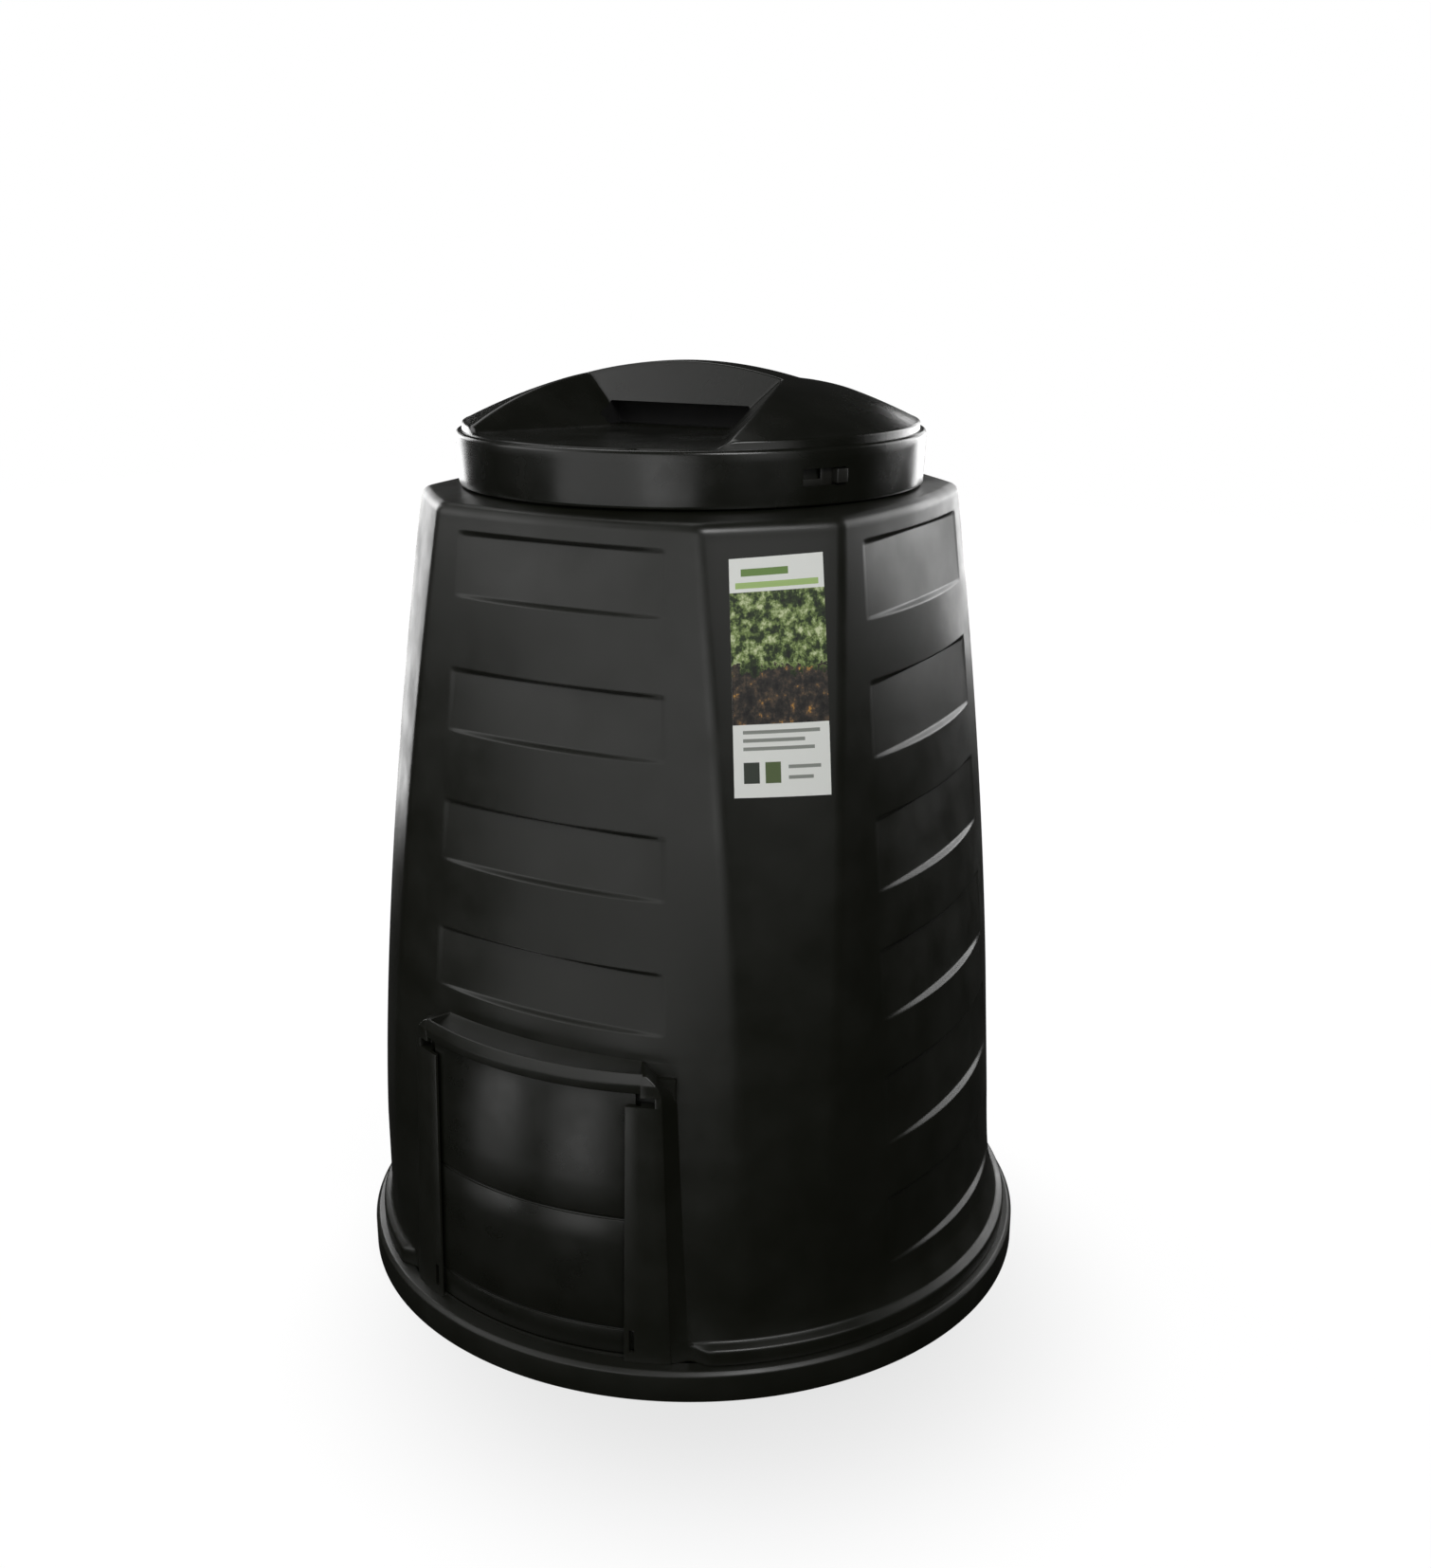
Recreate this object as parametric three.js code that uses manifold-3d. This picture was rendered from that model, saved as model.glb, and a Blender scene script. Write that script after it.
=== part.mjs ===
// Compost bin with a lift-off lid, a sliding hatch and a ground ring.
// Millimetres, +Z up, origin on the ground at the centre, hatch facing -Y.
import * as THREE from 'three';
import { mergeVertices } from 'three/addons/utils/BufferGeometryUtils.js';
import Module from 'manifold-3d';

const wasm = await Module();
wasm.setup();

// General fits
const gap = 0.3;
const weldTolerance = 0.003;
const cutOverrun = 12;

// Container wall: a barrel whose section goes from a soft octagon at the shoulder to round at the foot
const wall = 4;
const wallRadius = 350;
const shoulderRadius = 280;
const shoulderHeight = 850;
const taperStart = 150;
const taperPowerShare = 1.46;
const roundFootHeight = 60;
const cornerWidthTop = 136;
const cornerWidthFoot = 76;
const panelBowShare = 0.37;
const cornerBowShare = 0.2;
const bowRiseShare = 0.386;
const shoulderFillet = 12;
const shoulderRise = 4;

// Neck that carries the lid
const neckInset = 12.9;
const neckFillet = 4;
const neckHeight = 54;

// Recessed bands of the wide panels
const bandCount = 6;
const bandShoulderDrop = 25;
const lowestBandTop = 168;
const bandHeight = 62.5;
const bandHoodClearance = 12;
const bandLip = 2.5;
const bandLedge = 9;
const bandHalfWidth = 142;
const bandSideRun = 6;
const bandSideDepth = 2.5;
const bandMidDepth = 11;

// Foot flange of the container and the ground ring below it
const ringReach = 10;
const ringHeight = 33;
const ringWall = 3.5;
const ringChamfer = 4;
const ringLip = 10;
const ringLipClearance = 2.5;
const ringFoot = 9;
const ringFootThickness = 4;
const flangeReach = 10;
const flangeHeight = 17;
const flangeSlope = 5;

// Hatch: channel for the door, framed by rails, a hood and a strap. Half widths are at the frame's face.
// It leans in with the wall, by this share of its height above the sill.
const hatchLeanShare = 0.0356;
const jambDepth = 7;
const doorClearance = 3;
const doorThickness = 4;
const lipClearance = 2.5;
const lipThickness = 3.5;
const channelHalfWidth = 126;
const channelSideRun = 3;
const lipReach = 14;
const railFaceReachTop = 20;
const railFaceReachFoot = 30;
const frameReach = 14;
const flangeEndRun = 12;
const sillHeight = 36.5;
const sillStep = 1;
const railTop = 308;
const railStopRise = 1.5;
const railStopWidth = 9;
const strapPocketGap = 3;
const strapHeight = 15;
const strapLedgeDrop = 4;
const ledgeInset = 1.5;
const ledgeRise = 6;
const hoodCornerPowerShare = 1.5;
const hoodCornerInset = 1;
const hoodRowShares = [0.35, 0.6, 0.8];
const hoodPocketHeight = 10;
const hoodPocketReach = 13;
const notchHeight = 24;
const notchWidth = 5;
const notchRise = 6;

// Hatch opening and its door
const openingSideMargin = 12;
const openingSillMargin = 25.5;
const openingTopMargin = 4;
const openingCorner = 25;
const doorSideClearance = 2;
const doorStrapDrop = 8;
const doorGrooveWidth = 5;
const doorGrooveDepth = 1.5;
const doorGrooveHeights = [65, 185];

// Lid
const lidWall = 3.5;
const lidNeckClearance = 6;
const lidSkirtClearance = 2;
const lidSkirtDraft = 2;
const lidDeck = 5;
const lidEdgeFillet = 4;
const beadWidth = 1;
const beadGroove = 1.5;
const domeStep = 7;
const domeEdgeFillet = 3;
const domeRise = 66;
const seatWidth = 12;

// Two scoops in the lid leave a grip ridge between them
const scoopFloorRise = 1;
const scoopFloorHalf = 60;
const scoopFloorBack = 33;
const scoopCrestHalf = 113;
const scoopCrestBack = 18;
const scoopCrestHeight = 50;
const scoopRimHalf = 139;
const scoopRimMargin = 45;
const undercutHeight = 24;
const undercutHalf = 82;
const undercutBack = 8;
const undercutRun = 30;
const scoopOverrun = 30;

// Sliding latches in the lid skirt and their keepers on the neck
const slotRise = 18;
const slotHeight = 16;
const slotStartAngle = -35;
const slotSweepAngle = 11.5;
const knobSweepAngle = 3;
const knobClearance = 1.5;
const knobProud = 3;
const latchPlay = 0.8;
const latchPlate = 2.4;
const latchPlateMargin = 2;
const latchPlateSweepAngle = 9;
const fingerSweepAngle = 6;
const fingerHeight = 8;
const keeperStartAngle = -46;
const keeperSweepAngle = 8;
const keeperHeight = 8;
const keeperGap = 1;
const slotEndGapAngle = 0.15;

// Facets
const panelSteps = 3;
const hatchSpareColumns = 3;
const ringFacets = 64;
const lidFacets = 56;
const domeFacets = 8;
const filletFacets = 3;
const arcStepAngle = 5;

const toRadians = THREE.MathUtils.degToRad;
const lerp = THREE.MathUtils.lerp;
const clamp = THREE.MathUtils.clamp;

// Worked-out sizes of the foot, the hatch and its door
const flangeRadius = wallRadius + flangeReach;
const ringRadius = flangeRadius + ringReach;
const containerLow = ringHeight + gap;
const flangeTop = containerLow + flangeHeight;
const jambRadius = wallRadius - jambDepth;
const ringBore = jambRadius - wall - ringLipClearance - ringWall;
const doorInner = jambRadius + doorClearance;
const doorOuter = doorInner + doorThickness;
const lipInner = doorOuter + lipClearance;
const frameRadius = lipInner + lipThickness;
const lipHalfWidth = channelHalfWidth - lipReach;
const railFaceHalfWidthTop = channelHalfWidth + railFaceReachTop;
const railFaceHalfWidthFoot = channelHalfWidth + railFaceReachFoot;
const hoodPocketHalfWidth = channelHalfWidth + hoodPocketReach;
const strapLow = railTop + hoodPocketHeight + strapPocketGap;
const strapHigh = strapLow + strapHeight;
const ledgeTop = strapHigh - strapLedgeDrop;
const hoodTop = ledgeTop + ledgeRise;
const openingWidth = 2 * (lipHalfWidth - openingSideMargin);
const openingLow = sillHeight + openingSillMargin;
const openingHigh = railTop - openingTopMargin;
const railStopTop = sillHeight + railStopRise;
const doorLow = railStopTop + gap;
const doorTop = strapHigh - doorStrapDrop;
const doorHalfWidth = channelHalfWidth - channelSideRun - doorSideClearance;

// Worked-out sizes of the bands, the neck and the lid. Only the bands above the hood cross the hatch panel.
const bandTop = shoulderHeight - bandShoulderDrop;
const bandPitch = (bandTop - lowestBandTop) / (bandCount - 1);
const bandsAboveHood = Math.floor((bandTop - bandHeight - hoodTop - bandHoodClearance) / bandPitch) + 1;
const hatchBandCount = clamp(bandsAboveHood, 0, bandCount);
const lidSeatHeight = shoulderHeight + neckHeight;
const lidRim = lidSeatHeight + lidDeck;
const lidSkirtLow = shoulderHeight + shoulderRise + lidSkirtClearance;
const slotLow = lidSkirtLow + slotRise;
const scoopFloor = lidRim + scoopFloorRise;
const hatchAngle = -90;
const hatchLean = new THREE.Matrix4().set(
  1, 0, 0, 0,
  0, 1, hatchLeanShare, -hatchLeanShare * sillHeight,
  0, 0, 1, 0,
  0, 0, 0, 1,
);
const latchAngles = [0, 180];

const lidPlastic = new THREE.MeshStandardMaterial({ color: 0x222321, roughness: 0.5, metalness: 0 });
const wallPlastic = new THREE.MeshStandardMaterial({ color: 0x272826, roughness: 0.5, metalness: 0 });
const doorPlastic = new THREE.MeshStandardMaterial({ color: 0x2a2b29, roughness: 0.4, metalness: 0 });
const ringPlastic = new THREE.MeshStandardMaterial({ color: 0x232422, roughness: 0.55, metalness: 0 });
const latchPlastic = new THREE.MeshStandardMaterial({ color: 0x343532, roughness: 0.45, metalness: 0 });

// Angle in degrees that a half width takes up on a radius
const angleOf = (halfWidth, radius) => THREE.MathUtils.radToDeg(Math.asin(halfWidth / radius));

const polar = (radius, angle, z) => new THREE.Vector3(
  radius * Math.cos(toRadians(angle)), radius * Math.sin(toRadians(angle)), z);

// Shares of the way up the wall, for the taper and for how far the panels have gone from round to flat
const taper = (z) => clamp((z - taperStart) / (shoulderHeight - taperStart), 0, 1) ** taperPowerShare;
const flatness = (z) => clamp((z - roundFootHeight) / (shoulderHeight - roundFootHeight), 0, 1) ** bowRiseShare;
const creaseRadius = (z) => lerp(wallRadius, shoulderRadius, taper(z));

function creaseOffset(z) {
  const width = lerp(cornerWidthFoot, cornerWidthTop, clamp(z / shoulderHeight, 0, 1));
  return 45 - angleOf(width / 2, creaseRadius(z));
}

// Outer radius of the plain wall: chords between the creases, bowed part of the way out to the circle
function wallAt(angle, z) {
  const quarter = THREE.MathUtils.euclideanModulo(angle + 45, 90) - 45;
  const crease = creaseOffset(z);
  const wide = Math.abs(quarter) <= crease;
  const half = toRadians(wide ? crease : 45 - crease);
  const off = toRadians(wide ? quarter : 45 - Math.abs(quarter));
  const flat = Math.cos(half) / Math.cos(off);
  const bow = lerp(1, wide ? panelBowShare : cornerBowShare, flatness(z));
  return creaseRadius(z) * lerp(flat, 1, bow);
}

// The neck stands in from the shoulder's flat sides, and the lid's skirt clears it
const neckRadius = wallAt(0, shoulderHeight) - shoulderFillet - neckInset;
const lidRadius = neckRadius + lidNeckClearance + lidWall + lidSkirtDraft;
const domeRadius = lidRadius - lidEdgeFillet - beadWidth - beadGroove;
const scoopRimReach = domeRadius - scoopRimMargin;

function solidOf(geometry) {
  const bare = geometry.clone();
  for (const name of Object.keys(bare.attributes)) {
    if (name !== 'position') bare.deleteAttribute(name);
  }
  const merged = mergeVertices(bare, weldTolerance);
  return new wasm.Manifold(new wasm.Mesh({
    numProp: 3,
    vertProperties: new Float32Array(merged.attributes.position.array),
    triVerts: new Uint32Array(merged.index.array),
  }));
}

function geometryOf(solid) {
  const mesh = solid.getMesh();
  const geometry = new THREE.BufferGeometry();
  geometry.setAttribute('position', new THREE.BufferAttribute(new Float32Array(mesh.vertProperties), 3));
  geometry.setIndex(new THREE.BufferAttribute(new Uint32Array(mesh.triVerts), 1));
  geometry.computeVertexNormals();
  return geometry;
}

function meshOf(name, geometry, material) {
  const mesh = new THREE.Mesh(geometry, material);
  mesh.name = name;
  return mesh;
}

// Skins rings of points, each of the same length, into one surface that joins its last ring to its first
function ringTorus(rings) {
  const count = rings[0].length;
  const points = rings.flat().flatMap((point) => point.toArray());
  const faces = [];
  for (let row = 0; row < rings.length; row += 1) {
    const next = (row + 1) % rings.length;
    for (let column = 0; column < count; column += 1) {
      const beside = (column + 1) % count;
      const a = row * count + column;
      const b = row * count + beside;
      const c = next * count + beside;
      const d = next * count + column;
      faces.push(a, b, c, a, c, d);
    }
  }
  const geometry = new THREE.BufferGeometry();
  geometry.setAttribute('position', new THREE.Float32BufferAttribute(points, 3));
  geometry.setIndex(faces);
  return geometry;
}

// A closed outline of [radius, z] pairs swept about Z between two angles, with flat ends
function sweepArc(outline, startAngle, endAngle) {
  const turns = Math.max(1, Math.ceil((endAngle - startAngle) / arcStepAngle));
  const count = outline.length;
  const points = [];
  for (let turn = 0; turn <= turns; turn += 1) {
    const angle = lerp(startAngle, endAngle, turn / turns);
    for (const [radius, z] of outline) points.push(...polar(radius, angle, z).toArray());
  }
  const faces = [];
  for (let turn = 0; turn < turns; turn += 1) {
    for (let side = 0; side < count; side += 1) {
      const beside = (side + 1) % count;
      const a = turn * count + side;
      const b = turn * count + beside;
      faces.push(a, a + count, b, b, a + count, b + count);
    }
  }
  const flat = outline.map(([radius, z]) => new THREE.Vector2(radius, z));
  for (const [a, b, c] of THREE.ShapeUtils.triangulateShape(flat, [])) {
    faces.push(a, b, c, turns * count + a, turns * count + c, turns * count + b);
  }
  const geometry = new THREE.BufferGeometry();
  geometry.setAttribute('position', new THREE.Float32BufferAttribute(points, 3));
  geometry.setIndex(faces);
  return geometry;
}

// A curved block between two radii, two heights and two angles
const arcBlock = (inner, outer, low, high, start, end) => solidOf(
  sweepArc([[inner, low], [outer, low], [outer, high], [inner, high]], start, end));

// The same for the hatch's pieces, which lean in with the wall
const leanedBlock = (inner, outer, low, high, start, end) => solidOf(
  sweepArc([[inner, low], [outer, low], [outer, high], [inner, high]], start, end).applyMatrix4(hatchLean));

// A block between two plan outlines, [x, y] pairs in the same order, at two heights
function frustum(lowOutline, low, highOutline, high) {
  const points = [...lowOutline.map(([x, y]) => [x, y, low]), ...highOutline.map(([x, y]) => [x, y, high])];
  const count = lowOutline.length;
  const faces = [];
  for (let side = 0; side < count; side += 1) {
    const beside = (side + 1) % count;
    faces.push(side, beside, beside + count, side, beside + count, side + count);
  }
  for (let corner = 1; corner < count - 1; corner += 1) {
    faces.push(0, corner + 1, corner, count, count + corner, count + corner + 1);
  }
  const geometry = new THREE.BufferGeometry();
  geometry.setAttribute('position', new THREE.Float32BufferAttribute(points.flat(), 3));
  geometry.setIndex(faces);
  return solidOf(geometry);
}

// A profile of [radius, z] pairs that closes on itself or on the axis, turned about Z
function turned(profile, facets) {
  const points = profile.map(([radius, z]) => new THREE.Vector2(radius, z));
  const geometry = new THREE.LatheGeometry(points, facets);
  geometry.rotateX(Math.PI / 2);
  return solidOf(geometry);
}

// Quarter-round points from one tangent point to the other about a centre
function quarterRound(centreRadius, centreZ, radius, startAngle, endAngle) {
  const points = [];
  for (let step = 0; step <= filletFacets; step += 1) {
    const angle = toRadians(lerp(startAngle, endAngle, step / filletFacets));
    points.push([centreRadius + radius * Math.cos(angle), centreZ + radius * Math.sin(angle)]);
  }
  return points;
}

// Index of the recessed band that a height lies in at full depth, or -1. Inside, the band is a wall wider.
function bandAt(z, inside) {
  const grow = inside ? wall : 0;
  for (let band = 0; band < bandCount; band += 1) {
    const top = bandTop - band * bandPitch;
    const low = top - bandHeight;
    if (z > low + bandLedge - grow - gap && z < top - bandLip + grow + gap) return band;
  }
  return -1;
}

// Heights where each band starts, reaches its depth and ends
function bandHeights(inside) {
  const grow = inside ? wall : 0;
  return Array.from({ length: bandCount }, (unused, band) => {
    const top = bandTop - band * bandPitch;
    const low = top - bandHeight;
    return [low - grow, low + bandLedge - grow, top - bandLip + grow, top + grow];
  }).flat();
}

// Columns of the wall, as offsets in degrees from a panel's middle to its right crease
function bandColumns(z, inside, spare) {
  const inner = angleOf(bandHalfWidth + (inside ? wall : 0), wallRadius);
  const outer = inner + angleOf(bandSideRun, wallRadius);
  const crease = creaseOffset(z);
  const steps = Array.from({ length: panelSteps }, (unused, step) => inner * step / panelSteps);
  const spares = Array.from({ length: spare }, (unused, step) => lerp(outer, crease, (step + 1) / (spare + 1)));
  return [...steps, inner, outer, ...spares, crease];
}

// The same round the hatch: channel, rail, face edge, frame foot and the flange's end. The hood's ends are round.
function hatchColumns(z) {
  const rise = clamp((z - containerLow) / (railTop - containerLow), 0, 1);
  const drawnIn = (top, power) => clamp((z - railTop) / (top - railTop), 0, 1) ** power;
  const faceHalf = lerp(railFaceHalfWidthFoot, railFaceHalfWidthTop, rise);
  const frameHalf = faceHalf + frameReach;
  const channel = angleOf(channelHalfWidth - channelSideRun, frameRadius);
  const steps = Array.from({ length: panelSteps }, (unused, step) => channel * step / panelSteps);
  const faceEnd = lerp(faceHalf, channelHalfWidth + hoodCornerInset, drawnIn(ledgeTop, hoodCornerPowerShare));
  const frameEnd = lerp(frameHalf, channelHalfWidth + 2 * hoodCornerInset, drawnIn(hoodTop, 2));
  const flange = angleOf(frameHalf, frameRadius) + angleOf(flangeEndRun, flangeRadius);
  const ends = [channelHalfWidth, faceEnd, frameEnd].map((half) => angleOf(half, frameRadius));
  return [...steps, channel, ...ends, flange, creaseOffset(z)];
}

const railColumn = panelSteps + 1;
const faceColumn = railColumn + 1;
const flangeColumn = faceColumn + 2;

// How deep a recessed band is at an offset from the panel's middle
function bandDepth(offset, inner) {
  return lerp(bandMidDepth, bandSideDepth, clamp(Math.abs(offset) / inner, 0, 1) ** 2);
}

// Radius of the raised hatch surround at a column, for one height, before it leans
function surroundRadius(column, z, inside) {
  if (inside) return jambRadius - wall;
  if (column >= railColumn) return frameRadius;
  if (z > ledgeTop - gap) return jambRadius + ledgeInset;
  return z < sillHeight + gap ? wallRadius : jambRadius;
}

// One level ring of points round the wall, outside or inside
function wallRing(z, inside) {
  const flangeStep = z < flangeTop - (inside ? wall : 0) + gap ? flangeRadius - wallRadius : 0;
  const ring = [];
  for (let panel = 0; panel < 4; panel += 1) {
    const middle = hatchAngle + 90 * panel;
    const onHatch = panel === 0;
    const surround = onHatch && z < hoodTop + wall;
    const band = bandAt(z, inside);
    const banded = band >= 0 && !(onHatch && band >= hatchBandCount);
    const half = surround ? hatchColumns(z) : bandColumns(z, inside, onHatch ? hatchSpareColumns : 0);
    const place = (column, offset) => {
      if (surround && column <= faceColumn && z < hoodTop - (inside ? wall : 0) - gap) {
        return polar(surroundRadius(column, z, inside), middle + offset, z).applyMatrix4(hatchLean);
      }
      const depth = banded && column <= panelSteps ? bandDepth(offset, half[panelSteps]) : 0;
      const step = surround && column < flangeColumn ? 0 : flangeStep;
      return polar(wallAt(middle + offset, z) - depth - (inside ? wall : 0) + step, middle + offset, z);
    };
    for (let column = half.length - 1; column > 0; column -= 1) ring.push(place(column, -half[column]));
    half.forEach((offset, column) => ring.push(place(column, offset)));
    ring.push(polar(wallAt(middle + 45, z) - (inside ? wall : 0) + flangeStep, middle + 45, z));
  }
  return ring;
}

// A ring of the shoulder or neck: the wall's outline drawn in towards a circle
function shoulderRing(z, inset, roundShare, circle) {
  return wallRing(shoulderHeight - shoulderFillet, false).map((point) => {
    const radius = Math.hypot(point.x, point.y);
    const drawn = lerp(radius - inset, circle, roundShare);
    return new THREE.Vector3(point.x * drawn / radius, point.y * drawn / radius, z);
  });
}

function makeContainer() {
  const hoodRows = hoodRowShares.map((share) => lerp(railTop, ledgeTop, share));
  const outside = [containerLow, flangeTop, flangeTop + flangeSlope, sillHeight, sillHeight + sillStep,
    railTop, ...hoodRows, ledgeTop, hoodTop, ...bandHeights(false)];
  const within = [containerLow, flangeTop - wall, flangeTop + flangeSlope - wall,
    ledgeTop - wall, hoodTop - wall, ...bandHeights(true)];
  const shoulderLow = shoulderHeight - shoulderFillet;
  const rings = outside.sort((a, b) => a - b).map((z) => wallRing(z, false));
  for (let step = 0; step <= filletFacets; step += 1) {
    const turn = toRadians(90 * step / filletFacets);
    const inset = shoulderFillet * (1 - Math.cos(turn));
    rings.push(shoulderRing(shoulderLow + shoulderFillet * Math.sin(turn), inset, 0, neckRadius));
  }
  const crown = shoulderHeight + shoulderRise;
  rings.push(shoulderRing(crown, 0, 1, neckRadius + neckFillet));
  rings.push(shoulderRing(crown + neckFillet, 0, 1, neckRadius));
  rings.push(shoulderRing(lidSeatHeight, 0, 1, neckRadius));
  rings.push(shoulderRing(lidSeatHeight, 0, 1, neckRadius - wall));
  rings.push(shoulderRing(crown - wall, 0, 1, neckRadius - wall));
  rings.push(shoulderRing(shoulderHeight - wall, shoulderFillet + wall, 0, neckRadius));
  rings.push(shoulderRing(shoulderLow, wall, 0, neckRadius));
  rings.push(...within.sort((a, b) => b - a).map((z) => wallRing(z, true)));

  let solid = solidOf(ringTorus(rings));
  for (const side of [-1, 1]) solid = solid.add(makeRail(side));
  const strapAngle = angleOf(channelHalfWidth + channelSideRun, frameRadius);
  solid = solid.add(leanedBlock(lipInner, frameRadius, strapLow, strapHigh,
    hatchAngle - strapAngle, hatchAngle + strapAngle));
  for (const side of [-1, 1]) solid = solid.subtract(makeHoodPocket(side));
  solid = solid.subtract(makeOpening());
  for (const latchAngle of latchAngles) solid = solid.add(makeKeeper(latchAngle));
  return solid;
}

function sideArc(side, inner, outer, low, high, nearWidth, farWidth) {
  const near = angleOf(nearWidth, frameRadius);
  const far = angleOf(farWidth, frameRadius);
  const start = hatchAngle + (side > 0 ? near : -far);
  const end = hatchAngle + (side > 0 ? far : -near);
  return leanedBlock(inner, outer, low, high, start, end);
}

// The lip that holds the door in its channel, the stop that carries the door's corner, and a notch
function makeRail(side) {
  const lipFar = channelHalfWidth + channelSideRun;
  const stop = sideArc(side, jambRadius - wall / 2, frameRadius - lipThickness / 2, containerLow, railStopTop,
    channelHalfWidth - railStopWidth, lipFar);
  const notchLow = railStopTop + notchRise;
  const notch = sideArc(side, lipInner - gap, frameRadius + cutOverrun, notchLow, notchLow + notchHeight,
    lipHalfWidth + notchWidth, lipHalfWidth + 2 * notchWidth);
  return sideArc(side, lipInner, frameRadius, containerLow, railTop, lipHalfWidth, lipFar)
    .add(stop)
    .subtract(notch);
}

// The open pocket between a rail's top and the hood above it
const makeHoodPocket = (side) => sideArc(side, jambRadius, frameRadius + cutOverrun, railTop,
  railTop + hoodPocketHeight, lipHalfWidth - wall, hoodPocketHalfWidth);

// The hatch opening: an upright rounded rectangle cut straight through the jamb
function makeOpening() {
  const half = openingWidth / 2;
  const outline = new THREE.Shape();
  outline.moveTo(-half + openingCorner, openingLow);
  outline.lineTo(half - openingCorner, openingLow);
  outline.absarc(half - openingCorner, openingLow + openingCorner, openingCorner, -Math.PI / 2, 0);
  outline.absarc(half - openingCorner, openingHigh - openingCorner, openingCorner, 0, Math.PI / 2);
  outline.absarc(-half + openingCorner, openingHigh - openingCorner, openingCorner, Math.PI / 2, Math.PI);
  outline.absarc(-half + openingCorner, openingLow + openingCorner, openingCorner, Math.PI, Math.PI * 1.5);
  const depth = jambRadius / 2;
  const cutter = new THREE.ExtrudeGeometry(outline, { depth, bevelEnabled: false, curveSegments: filletFacets });
  cutter.rotateX(Math.PI / 2);
  cutter.translate(0, -depth, 0);
  return solidOf(cutter);
}

function makeKeeper(latchAngle) {
  const low = slotLow - latchPlateMargin + fingerHeight + keeperGap;
  const reach = lidRadius - lidSkirtDraft - lidWall - 2 * gap;
  const start = latchAngle + keeperStartAngle;
  return arcBlock(neckRadius - wall / 2, reach, low, low + keeperHeight, start, start + keeperSweepAngle);
}

// Ground ring: an outer skirt, a web that the container stands on, a locating lip and an inner skirt
function makeGroundRing() {
  const profile = [
    [ringRadius - ringFoot, 0],
    [ringRadius, 0],
    [ringRadius, ringHeight - ringChamfer],
    [ringRadius - ringChamfer, ringHeight],
    [ringBore + ringWall, ringHeight],
    [ringBore + ringWall, ringHeight + ringLip],
    [ringBore, ringHeight + ringLip],
    [ringBore, 0],
    [ringBore + ringFoot, 0],
    [ringBore + ringFoot, ringFootThickness],
    [ringBore + ringWall, ringFootThickness],
    [ringBore + ringWall, ringHeight - ringWall],
    [ringRadius - ringWall - ringChamfer, ringHeight - ringWall],
    [ringRadius - ringWall, ringHeight - ringWall - ringChamfer],
    [ringRadius - ringWall, ringFootThickness],
    [ringRadius - ringFoot, ringFootThickness],
    [ringRadius - ringFoot, 0],
  ];
  return turned(profile, ringFacets);
}

// The door: a curved plate with square grooves across its face
function makeDoor() {
  const half = angleOf(doorHalfWidth, frameRadius);
  const outline = [[doorInner, doorLow], [doorOuter, doorLow]];
  for (const height of doorGrooveHeights) {
    outline.push([doorOuter, height - doorGrooveWidth / 2]);
    outline.push([doorOuter - doorGrooveDepth, height - doorGrooveWidth / 4]);
    outline.push([doorOuter - doorGrooveDepth, height + doorGrooveWidth / 4]);
    outline.push([doorOuter, height + doorGrooveWidth / 2]);
  }
  outline.push([doorOuter, doorTop], [doorInner, doorTop]);
  return solidOf(sweepArc(outline, hatchAngle - half, hatchAngle + half).applyMatrix4(hatchLean));
}

// The dome stands on a low step inside the lid's rim
const domeHeight = (radius) => lidRim + lerp(domeRise, domeStep, (radius / domeRadius) ** 2);

// A scoop cutter, or with a wall's growth the solid that keeps a wall round the scoop
function makeScoop(grow) {
  const outline = (height) => {
    const rise = (height - scoopFloor) / scoopCrestHeight;
    const half = lerp(scoopFloorHalf, scoopCrestHalf, rise) + grow;
    const back = -lerp(scoopFloorBack, scoopCrestBack, rise) + grow;
    const run = (scoopRimHalf - scoopFloorHalf) / (scoopRimReach - scoopFloorBack);
    const front = -lidRadius - scoopOverrun;
    const spread = half + (back - front) * run;
    return [[-half, back], [-spread, front], [spread, front], [half, back]];
  };
  const low = scoopFloor - grow;
  const high = lidRim + domeRise + scoopOverrun;
  const undercutFront = -scoopFloorBack - undercutRun - grow;
  const undercutOutline = [
    [-undercutHalf - grow, -undercutBack + grow],
    [-undercutHalf - grow, undercutFront],
    [undercutHalf + grow, undercutFront],
    [undercutHalf + grow, -undercutBack + grow],
  ];
  const undercutTop = scoopFloor + undercutHeight + grow;
  return frustum(outline(low), low, outline(high), high)
    .add(frustum(undercutOutline, low, undercutOutline, undercutTop));
}

const bothWays = (solid) => solid.add(solid.rotate([0, 0, 180]));

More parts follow.
